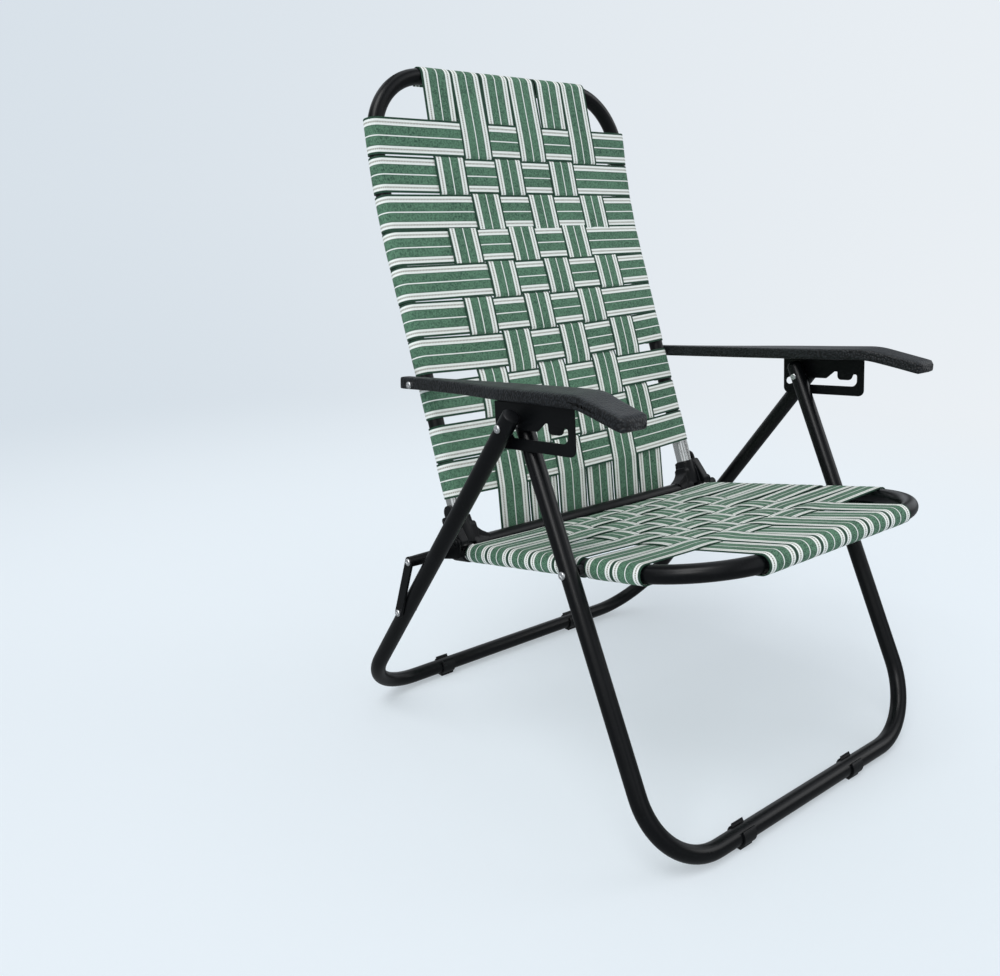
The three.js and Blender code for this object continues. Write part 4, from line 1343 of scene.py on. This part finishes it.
@dataclass
class Arms:
    """Moulded arm pads on slotted steel plates."""

    fitter: Fitter
    fasteners: Fasteners
    thickness: float = 19.0
    plate_offset: float = 32.0
    kink: float = 160.0
    rear: float = 606.5
    tip: float = 71.5
    tip_drop: float = 8.5
    kink_radius: float = 120.0
    nose: float = 4.5
    heel: float = 8.5
    thinning_share: float = 0.8
    top_width_share: float = 0.985
    sections: int = 96
    section_points: int = 72
    plate_inner: float = 331.0
    plate_thickness: float = 2.0
    plate_ends: Pair = (-39.0, 115.0)
    plate_edges: Pair = (31.7, -31.8)
    lip_reach: float = 13.0
    overrun: float = 4.0
    screw_seat: float = 302.9
    inner_edge: tuple[Pair, ...] = (
        (71.5, 314.0), (84.0, 311.0), (110.0, 307.3), (130.0, 303.0), (145.0, 299.2), (160.0, 295.0),
        (178.0, 291.0), (195.0, 288.0), (215.0, 285.6), (240.0, 284.0), (325.0, 283.0), (400.0, 284.0),
        (470.0, 286.0), (535.0, 287.0), (607.0, 287.0))
    outer_edge: tuple[Pair, ...] = (
        (71.5, 357.0), (84.0, 359.0), (130.0, 354.0), (160.0, 351.0), (195.0, 348.0), (240.0, 343.0),
        (285.0, 340.0), (325.0, 335.0), (362.0, 328.0), (400.0, 320.0), (435.0, 313.8), (470.0, 309.0),
        (502.0, 305.6), (535.0, 303.6), (560.0, 303.0), (607.0, 303.0))

    def underside(self, y: float) -> float:
        """Height of the pad's underside, with its kink eased by an arc."""
        turn = math.radians(PLAN.arm_slope)
        slope, drop = math.tan(turn), math.tan(math.radians(self.tip_drop))
        start = PLAN.pin[0] + self.plate_offset * math.sin(turn)
        base = PLAN.pin[1] + self.plate_offset * math.cos(turn)
        high = base + (start - self.kink) * slope
        near = self.kink_radius * (slope + drop) / 2
        away = y - self.kink
        if away > near:
            return base + (start - y) * slope
        if away < -near:
            return high + away * drop
        return high - slope * near + (near - away) * slope - (near - away) ** 2 / (2 * self.kink_radius)

    def _pad(self, side: Side) -> bpy.types.Object:
        """The pad: rounded sections along its plan and profile."""

        def point(around: float, along: float) -> Vector:
            """The place of a share round the pad and a share from its rear to its tip."""
            y = mix(self.rear, self.tip, along)
            inner, outer = table_value(self.inner_edge, y), table_value(self.outer_edge, y)
            inset = 0.0
            for gap, radius in ((y - self.tip, self.nose), (self.rear - y, self.heel)):
                if gap < radius:
                    inset = max(inset, radius - math.sqrt(max(radius**2 - (radius - gap) ** 2, 0.0)))
            tall, half = self.thickness / 2 - inset * self.thinning_share, (outer - inner) / 2 - inset
            turn = 2 * math.pi * around
            flat, sharp = math.cos(turn), math.sin(turn)
            power, share = (0.2, 1.0) if sharp < 0 else (0.27, self.top_width_share)
            x = (inner + outer) / 2 + half * math.copysign(abs(flat) ** power, flat) * share
            z = self.underside(y) + self.thickness / 2 + tall * math.copysign(abs(sharp) ** 0.34, sharp)
            return spot(x * side.value, y, z)

        return lofted(side.node("pad_body"), self.sections, self.section_points, point, True, 60)

    def _plate(self, side: Side) -> bpy.types.Object:
        """The slotted plate with its flange under the pad."""
        sign = side.value
        near, far = self.plate_inner, self.plate_inner + self.plate_thickness
        cut_near, cut_far = near - self.overrun, far + self.overrun
        (rear, front), (top, bottom) = self.plate_ends, self.plate_edges

        def layer(name: str, points: Sequence[Pair], inner: float, outer: float) -> bpy.types.Object:
            """A piece in the plate's plane, from an outline with its heights towards the pad."""
            return side_plate(name, [(u, -v) for u, v in points], inner * sign, outer * sign, PLAN.arm)

        plate = layer("plate", OutlinePen.rounded([
            (rear, top, 0), (front, top, 0), (front, bottom, 10), (rear, bottom, 10)]), near, far)
        slot = layer("slot", OutlinePen.rounded([
            (-6, 6, 5.9), (6, 6, 5.9), (6, -4, 2.5), (45, -4, 3.5), (60.5, 8.2, 1.6), (66.4, 8.2, 1.6),
            (66.4, -5.6, 9.5), (91.0, -5.6, 7.5), (95.6, 4.4, 2.5), (102.8, 4.4, 3.4), (102.8, -16, 14),
            (-6, -16, 5.9)]), cut_near, cut_far)
        run = OutlinePen.belt([((0, 0), 6.0), ((-28.5, 10.6), 6.0)])
        run = side_plate("run", run, cut_near * sign, cut_far * sign, PLAN.arm)
        Bench.combine("DIFFERENCE", plate, slot, run)
        fold = top - self.plate_thickness
        edge = [(rear, top), (rear, fold), (front, fold), (front, top)]
        lip = layer("lip", edge, near - self.lip_reach, far - 0.5)
        Bench.bevel(plate, 0.35, 2, 30)
        Bench.bevel(lip, 0.5, 2)
        return Bench.join(side.node("slot_plate"), plate, lip)

    def build(self) -> None:
        """Builds both arms."""
        finishes = self.fitter.finishes
        for side in Side:
            body = f"arm_{side.name.lower()}"
            self.fitter.fit(self._pad(side), finishes.pad, body, "black_plastic", side.node("arm_pad"))
            self.fitter.fit(self._plate(side), finishes.sheet, body, "black_sheet", side.node("arm_plate"))
            nut_seat = PLAN.back_half - PLAN.tube - PLAN.gap
            screw = self.fasteners.pin(
                side.node("arm_screw"), PLAN.arm_pivot, nut_seat, self.screw_seat, side)
            self.fitter.fit(screw, finishes.zinc, body, "zinc")


# Hinges and links


@dataclass
class Hinges:
    """Castings at the back's foot, the seat's end fittings, the chrome sleeves and the fold links."""

    fitter: Fitter
    fasteners: Fasteners
    flange_inner: float = 294.0
    flange_thickness: float = 4.0
    bracket_inner: float = 298.6
    bracket_thickness: float = 4.4
    flange_reach: float = 12.0
    cheek_reach: Pair = (14.4, 18.5)
    web_x: Pair = (252.0, 263.0)
    collar: Profile = (
        (-72.0, 18.8), (-62.0, 18.6), (-52.0, 17.8), (-42.0, 16.6), (-34.0, 15.6), (-28.0, 15.0),
        (-26.4, 14.8), (-26.0, 14.2))
    socket_from: float = 232.0
    socket: Profile = ((0.0, 13.6), (0.8, 14.4), (8.0, 15.0), (16.0, 16.2), (24.0, 17.8), (31.0, 18.6))
    gusset: tuple[tuple[float, float, float], ...] = (
        (272.0, -27.0, 2.0), (258.0, -28.0, 2.0), (256.5, -42.0, 36.0), (246.0, -56.0, 36.0),
        (228.0, -66.0, 3.0), (232.0, -72.0, 2.0), (272.0, -72.0, 2.0))
    gusset_half: float = 13.0
    chrome: Profile = ((-30.0, 13.2), (-29.8, 13.9), (12.4, 13.9), (12.9, 13.5), (13.0, 12.8))
    end_sleeve: Profile = (
        (467.0, 14.2), (467.8, 15.2), (470.0, 15.4), (501.5, 15.4), (504.0, 14.2), (505.0, 11.5))
    end_collar: Profile = ((460.4, 13.0), (460.7, 13.5), (466.3, 13.5), (466.8, 13.0))
    lug_at: float = 473.0

    @property
    def bracket_outer(self) -> float:
        """Distance of the bracket's outer face from the middle plane."""
        return self.bracket_inner + self.bracket_thickness

    def _casting(self, side: Side) -> bpy.types.Object:
        """The boot-shaped casting that holds the side tube and the foot bar."""
        line, sign = PLAN.back, side.value

        def layer(name: str, points: Sequence[Pair], inner: float, outer: float) -> bpy.types.Object:
            """A wall in the side plane, between two distances from the middle plane."""
            return side_plate(name, points, inner * sign, outer * sign, line)

        start = line.point(0, 0, PLAN.back_half * sign)
        boot = turned("collar", start, line.along, self.collar, 44)
        start = line.point(PLAN.foot_bar_at, 0, self.socket_from * sign)
        socket = turned("socket", start, ACROSS * sign, self.socket, 44)
        gusset = [
            line.point(s, -self.gusset_half, x * sign) for x, s in OutlinePen.rounded(self.gusset, 6)]
        fin = OutlinePen.draw("fin", gusset, line.off * 2 * self.gusset_half * MM)
        heel = OutlinePen.belt([((PLAN.foot_bar_at, 0.0), 15.5), ((-46, -6), 7.0), ((-46, 8), 7.0)])
        web = layer("web", heel, *self.web_x)
        ledge = OutlinePen.rounded([(-61.3, -8.3, 3), (-42.7, -8.3, 3), (-42.7, 14.3, 3), (-61.3, 14.3, 3)])
        bridge = layer("bridge", ledge, self.web_x[1] - 1, self.flange_inner + 0.7)
        lobe = OutlinePen.belt([((-31, 8), 6.0), ((-67.8, 19.7), 8.5), ((-57, -4), 4.0), ((-31, -5), 6.0)])
        flange = layer(
            "flange", lobe, PLAN.back_half + self.flange_reach, self.flange_inner + self.flange_thickness)
        cheek = layer("cheek", OutlinePen.belt([((-44, 2), 13.0), ((-20, 0), 12.0)]),
                      *(PLAN.back_half + reach for reach in self.cheek_reach))
        Bench.combine("UNION", boot, socket, fin, web, bridge, flange, cheek)
        Bench.melt(boot, 0.9, 9)
        return Bench.join(side.node("foot_casting"), boot)

    def _fitting(self, side: Side) -> bpy.types.Object:
        """The sleeve over the seat tube's end, with the bracket that carries hinge and link."""
        sign, line = side.value, PLAN.seat
        sleeve = turned("sleeve", line.point(0, 0, PLAN.seat_half * sign), line.along, self.end_sleeve, 40)
        lug = line.point(self.lug_at) / MM
        outline = OutlinePen.belt([
            ((lug.y - SHIFT_Y, lug.z), 6.0), (PLAN.link_top, 9.0), (PLAN.hinge, 8.0)])
        bracket = side_plate("bracket", outline, self.bracket_inner * sign, self.bracket_outer * sign)
        rib = OutlinePen.rounded([(468, -5.5, 3), (504, -5.5, 3), (504, 5.5, 3), (468, 5.5, 3)])
        near, far = PLAN.seat_half + 10, self.bracket_outer - 0.4
        bridge = side_plate("bridge", rib, near * sign, far * sign, line)
        Bench.combine("UNION", sleeve, bridge, bracket)
        Bench.melt(sleeve, 0.8, 3)
        return Bench.join(side.node("end_fitting"), sleeve)

    def _link(self, side: Side) -> bpy.types.Object:
        """The flat link from the rear leg to the end fitting's lug."""
        sign = side.value
        outline = OutlinePen.belt([(PLAN.link_foot, 8.5), (PLAN.link_top, 8.5)], 20)
        strap = side_plate("strap", outline, PLAN.link_inner * sign, PLAN.link_outer * sign)
        Bench.bevel(strap, 0.8, 3)
        near = self.bracket_outer + PLAN.gap
        reach = PLAN.link_inner + 0.2 - near
        arm = turned("arm", spot(near * sign, *PLAN.link_top), ACROSS * sign, [
            (0, 8.4), (0.6, 9.0), (reach * 0.3, 8.9), (reach * 0.7, 8.5), (reach, 8.2)], 36)
        return Bench.join(side.node("link_strap"), strap, arm)

    def build(self) -> None:
        """Builds the hinges and links of both sides."""
        finishes, fit = self.fitter.finishes, self.fitter.fit
        for side in Side:
            link_body = side.node("link")
            back, seat = PLAN.back_half * side.value, PLAN.seat_half * side.value
            fit(self._casting(side), finishes.cast, "back", "black_plastic", side.node("hinge_casting"))
            tube = turned(
                side.node("chrome_tube"), PLAN.back.point(0, 0, back), PLAN.back.along, self.chrome, 44)
            fit(tube, finishes.chrome, "back", "chrome", side.node("back_sleeve"))
            fit(self._fitting(side), finishes.sheet, "seat", "black_sheet", side.node("seat_end_fitting"))
            bolt = self.fasteners.pin(
                side.node("hinge_bolt"), PLAN.hinge, self.flange_inner - PLAN.gap, self.bracket_outer, side)
            fit(bolt, finishes.sheet, "seat", "black_sheet")
            collar = turned(
                side.node("seat_collar"), PLAN.seat.point(0, 0, seat), PLAN.seat.along, self.end_collar, 40)
            fit(collar, finishes.chrome, "seat", "chrome")
            fit(self._link(side), finishes.sheet, link_body, "black_sheet", side.node("fold_link"))
            head = self.fasteners.screw_head(PLAN.link_top, PLAN.link_outer, side)
            head.name = side.node("link_top_screw")
            fit(head, finishes.zinc, link_body, "zinc")


# Feet


@dataclass
class Feet:
    """Spring clips under the floor bars and plugs in the rear legs' ends."""

    fitter: Fitter
    length: float = 26.0
    wall: float = 2.8
    opening: float = 52.0
    front_x: Pair = (-152.0, 120.0)
    rear_x: Pair = (-170.0, 154.0)
    slack: float = 0.25
    sole_half: float = 9.0
    plug: Profile = (
        (-5.0, 10.8), (0.25, 10.9), (0.3, 12.6), (1.0, 12.7), (2.0, 12.2), (3.0, 10.6), (3.6, 7.5),
        (3.8, 3.0))
    plug_at: float = 21.0

    def _clip(self, name: str, line: SideLine, x: float) -> bpy.types.Object:
        """A clip round a floor bar, with its flat sole and two flared lips."""
        inner, outer = PLAN.tube + self.slack, PLAN.tube + PLAN.gap + self.wall
        half, sole = self.opening / 2, math.degrees(math.asin(self.sole_half / outer))

        def ring(radius: float, angle: float, out: float) -> Pair:
            """A point of a ring round the bar, moved out to its side."""
            turn = math.radians(angle)
            flare = math.copysign(out, math.cos(turn))
            return line.y + radius * math.cos(turn) + flare, line.z + radius * math.sin(turn)

        lip = [(inner, half, 3.6), (inner + 1.2, half - 3, 4.4), (outer + 0.9, half + 3, 3.0)]
        wall = lip + [(outer, mix(half + 14, 180 - sole, k / 18), 0.0) for k in range(19)]
        points = [ring(radius, 90 + turn, out) for radius, turn, out in wall]
        edge = self.sole_half
        points += [
            (line.y + y, z) for y, z in ((-edge, 0.4), (0.6 - edge, 0.0), (edge - 0.6, 0.0), (edge, 0.4))]
        points += [ring(radius, 450 - turn, out) for radius, turn, out in reversed(wall)]
        points += [ring(inner, mix(450 - half - 12, 90 + half + 12, k / 36), 0.0) for k in range(37)]
        clip = side_plate(name, points, x - self.length / 2, x + self.length / 2)
        Bench.bevel(clip, 0.6, 2, 40)
        return clip

    def build(self) -> None:
        """Builds clips and plugs."""
        finish = self.fitter.finishes.clip
        ends = (("front", PLAN.front_leg, self.front_x), ("rear", PLAN.rear_leg, self.rear_x))
        for index, side in enumerate(Side):
            for end, line, places in ends:
                clip = self._clip(side.node(f"{end}_clip"), line, places[index])
                self.fitter.fit(clip, finish, f"{end}_leg", "black_plastic", side.node(f"{end}_foot_clip"))
            start = PLAN.rear_leg.point(PLAN.rear_leg_length + self.plug_at, 0, PLAN.rear_half * side.value)
            plug = turned(side.node("leg_plug"), start, PLAN.rear_leg.along, self.plug)
            self.fitter.fit(plug, finish, "rear_leg", "black_plastic", side.node("rear_leg_plug"))


# Studio


@dataclass
class Studio:
    """Camera, pale floor and soft lamps.

    Attributes:
        camera_place: Where the camera stands, in metres.
        azimuth: The side that it looks from, in degrees.
        elevation: How far it looks down, in degrees.
        roll: How far it leans, in degrees.
        lens: Its focal length on a 36 mm frame.
        shade_side: Colour of the backdrop on the camera's left.
        light_side: Its colour on the camera's right.
        floor: Colour of the floor.
        veil: How much of the floor's look is plain colour that no shadow darkens.
        gloss: How bright the room is in reflections.
        sky: Strength of the even light.
        lamps: Name, place, width and strength of each lamp.
    """

    camera_place: tuple[float, float, float] = (-1.1707, -1.0349, 0.8629)
    azimuth: float = -40.16
    elevation: float = 16.72
    roll: float = 0.92
    lens: float = 35.5
    shade_side: tuple[float, float, float] = (0.67, 0.74, 0.805)
    light_side: tuple[float, float, float] = (0.835, 0.875, 0.912)
    floor: tuple[float, float, float] = (0.79, 0.85, 0.895)
    veil: float = 0.42
    gloss: float = 0.3
    sky: float = 0.72
    lamps: tuple[tuple[str, tuple[float, float, float], float, float], ...] = (
        ("top_soft", (-0.5, -0.1, 1.0), 30.0, 0.95), ("left_key", (-1.0, -0.45, 0.75), 24.0, 0.66),
        ("right_rim", (0.9, -0.5, 0.6), 30.0, 0.3))

    def _camera(self) -> None:
        """Places the camera at the photograph's angle."""
        turn, rise, roll = (math.radians(v) for v in (self.azimuth, self.elevation, self.roll))
        back = Vector((math.sin(turn) * math.cos(rise), -math.cos(turn) * math.cos(rise), math.sin(rise)))
        right = Vector((0, 0, 1)).cross(back).normalized()
        up = back.cross(right)
        wide = right * math.cos(roll) + up * math.sin(roll)
        tall = -right * math.sin(roll) + up * math.cos(roll)
        data = bpy.data.cameras.new("photo_camera")
        data.lens, data.sensor_width, data.sensor_fit = self.lens, 36.0, "HORIZONTAL"
        data.clip_start, data.clip_end = 0.05, 90.0
        camera = bpy.data.objects.new("photo_camera", data)
        matrix = Matrix((wide, tall, back)).transposed().to_4x4()
        matrix.translation = Vector(self.camera_place)
        camera.matrix_world = matrix
        bpy.context.scene.collection.objects.link(camera)
        bpy.context.scene.camera = camera

    def _sun(self, name: str, place: Vector, spread: float, power: float) -> None:
        """Adds a far, soft lamp.

        Args:
            name: Its name.
            place: The way that it shines from.
            spread: Its width in degrees.
            power: Its strength.
        """
        data = bpy.data.lights.new(name, "SUN")
        data.energy, data.angle = power, math.radians(spread)
        lamp = bpy.data.objects.new(name, data)
        lamp.rotation_euler = place.to_track_quat("Z", "Y").to_euler()
        bpy.context.scene.collection.objects.link(lamp)

    def _backdrop(self, board: Board, way: Signal) -> Signal:
        """The backdrop's colour, shaded from the camera's left to its right."""
        return board.blend(self._across(board, way).over(0.0, 0.75), self.shade_side, self.light_side)

    def _across(self, board: Board, way: Signal) -> Signal:
        """How far a direction points to the camera's right, from -1 to 1."""
        turn = math.radians(self.azimuth)
        right = (math.cos(turn), math.sin(turn), 0.0)
        return board.node("ShaderNodeVectorMath", {"operation": "DOT_PRODUCT"}, {0: way, 1: right}, "Value")

    def _seen(self, board: Board) -> Signal:
        """1 for the rays that show the backdrop as it is."""
        camera, through = (
            board.node("ShaderNodeLightPath", output=f"Is {kind} Ray") for kind in ("Camera", "Transmission"))
        return board.node("ShaderNodeMath", {"operation": "ADD", "use_clamp": True}, {0: camera, 1: through})

    def _floor(self) -> None:
        """Adds the floor: it keeps the shadow near the chair and runs out into the backdrop."""
        Bench.clear()
        bpy.ops.mesh.primitive_grid_add(x_subdivisions=8, y_subdivisions=8, size=120)
        floor = bpy.context.object
        floor.name = "studio_floor"
        board = Board("studio_floor")
        place = board.place()
        board.set(base_color=self.floor, roughness=0.8, specular_ior_level=0.1)
        away = board.node("ShaderNodeVectorMath", {"operation": "LENGTH"}, {0: place}, "Value")
        way = board.node("ShaderNodeVectorMath", {"operation": "NORMALIZE"}, {0: place})
        colour = board.blend(away.over(1.9, 1.3), self.floor, self._backdrop(board, way))
        glow = board.node("ShaderNodeEmission", None, {"Color": colour, "Strength": 1.0})
        share = self._seen(board) * (away.over(1.9, 1.1) * (1 - self.veil) + self.veil)
        shader = Signal(board, board.shader.outputs[0])
        both = board.node("ShaderNodeMixShader", None, {0: share, 1: shader, 2: glow})
        dim = board.node("ShaderNodeEmission", None, {"Color": self.floor, "Strength": self.gloss})
        glossy = board.node("ShaderNodeLightPath", output="Is Glossy Ray")
        whole = board.node("ShaderNodeMixShader", None, {0: glossy, 1: both, 2: dim})
        board.tree.links.new(whole.socket, board.tree.nodes["Material Output"].inputs["Surface"])
        floor.data.materials.append(board.material)

    def _world(self) -> None:
        """Sets a pale sky that lights the chair evenly and shows as the backdrop."""
        world = bpy.data.worlds.new("studio_world")
        bpy.context.scene.world = world
        world.use_nodes = True
        board = Board.of(world.node_tree)
        light = world.node_tree.nodes["Background"]
        light.inputs[0].default_value = (0.86, 0.90, 0.95, 1)
        glossy = board.node("ShaderNodeLightPath", output="Is Glossy Ray")
        way = board.node("ShaderNodeTexCoord", output="Generated")
        screens = self._across(board, way).wave(0.62, 0.9).over(0.3, 0.5)
        strength = self.sky + glossy * (screens * (2.4 * self.gloss) + (0.35 * self.gloss - self.sky))
        world.node_tree.links.new(strength.socket, light.inputs[1])
        backdrop = self._backdrop(board, way)
        seen = board.node("ShaderNodeBackground", None, {"Color": backdrop, "Strength": 1.0})
        both = board.node("ShaderNodeMixShader", None, {
            0: self._seen(board), 1: Signal(board, light.outputs[0]), 2: seen})
        board.tree.links.new(both.socket, world.node_tree.nodes["World Output"].inputs[0])

    def build(self) -> None:
        """Sets up the whole studio."""
        self._camera()
        self._floor()
        self._world()
        for name, place, spread, power in self.lamps:
            self._sun(name, Vector(place), spread, power)
        bpy.context.scene.view_settings.view_transform = "Standard"


def main() -> None:
    """Builds the chair in order and reports each piece."""
    logging.basicConfig(level=logging.INFO, format="%(message)s")
    Studio().build()
    fitter = Fitter(Finishes())
    fasteners = Fasteners(fitter)
    for part in (
        TubeFrame(fitter), BackWeave(fitter), SeatWeave(fitter), fasteners, Arms(fitter, fasteners),
        Hinges(fitter, fasteners), Feet(fitter),
    ):
        part.build()
        LOG.info("%s is done", type(part).__name__)


if __name__ == "__main__":
    main()
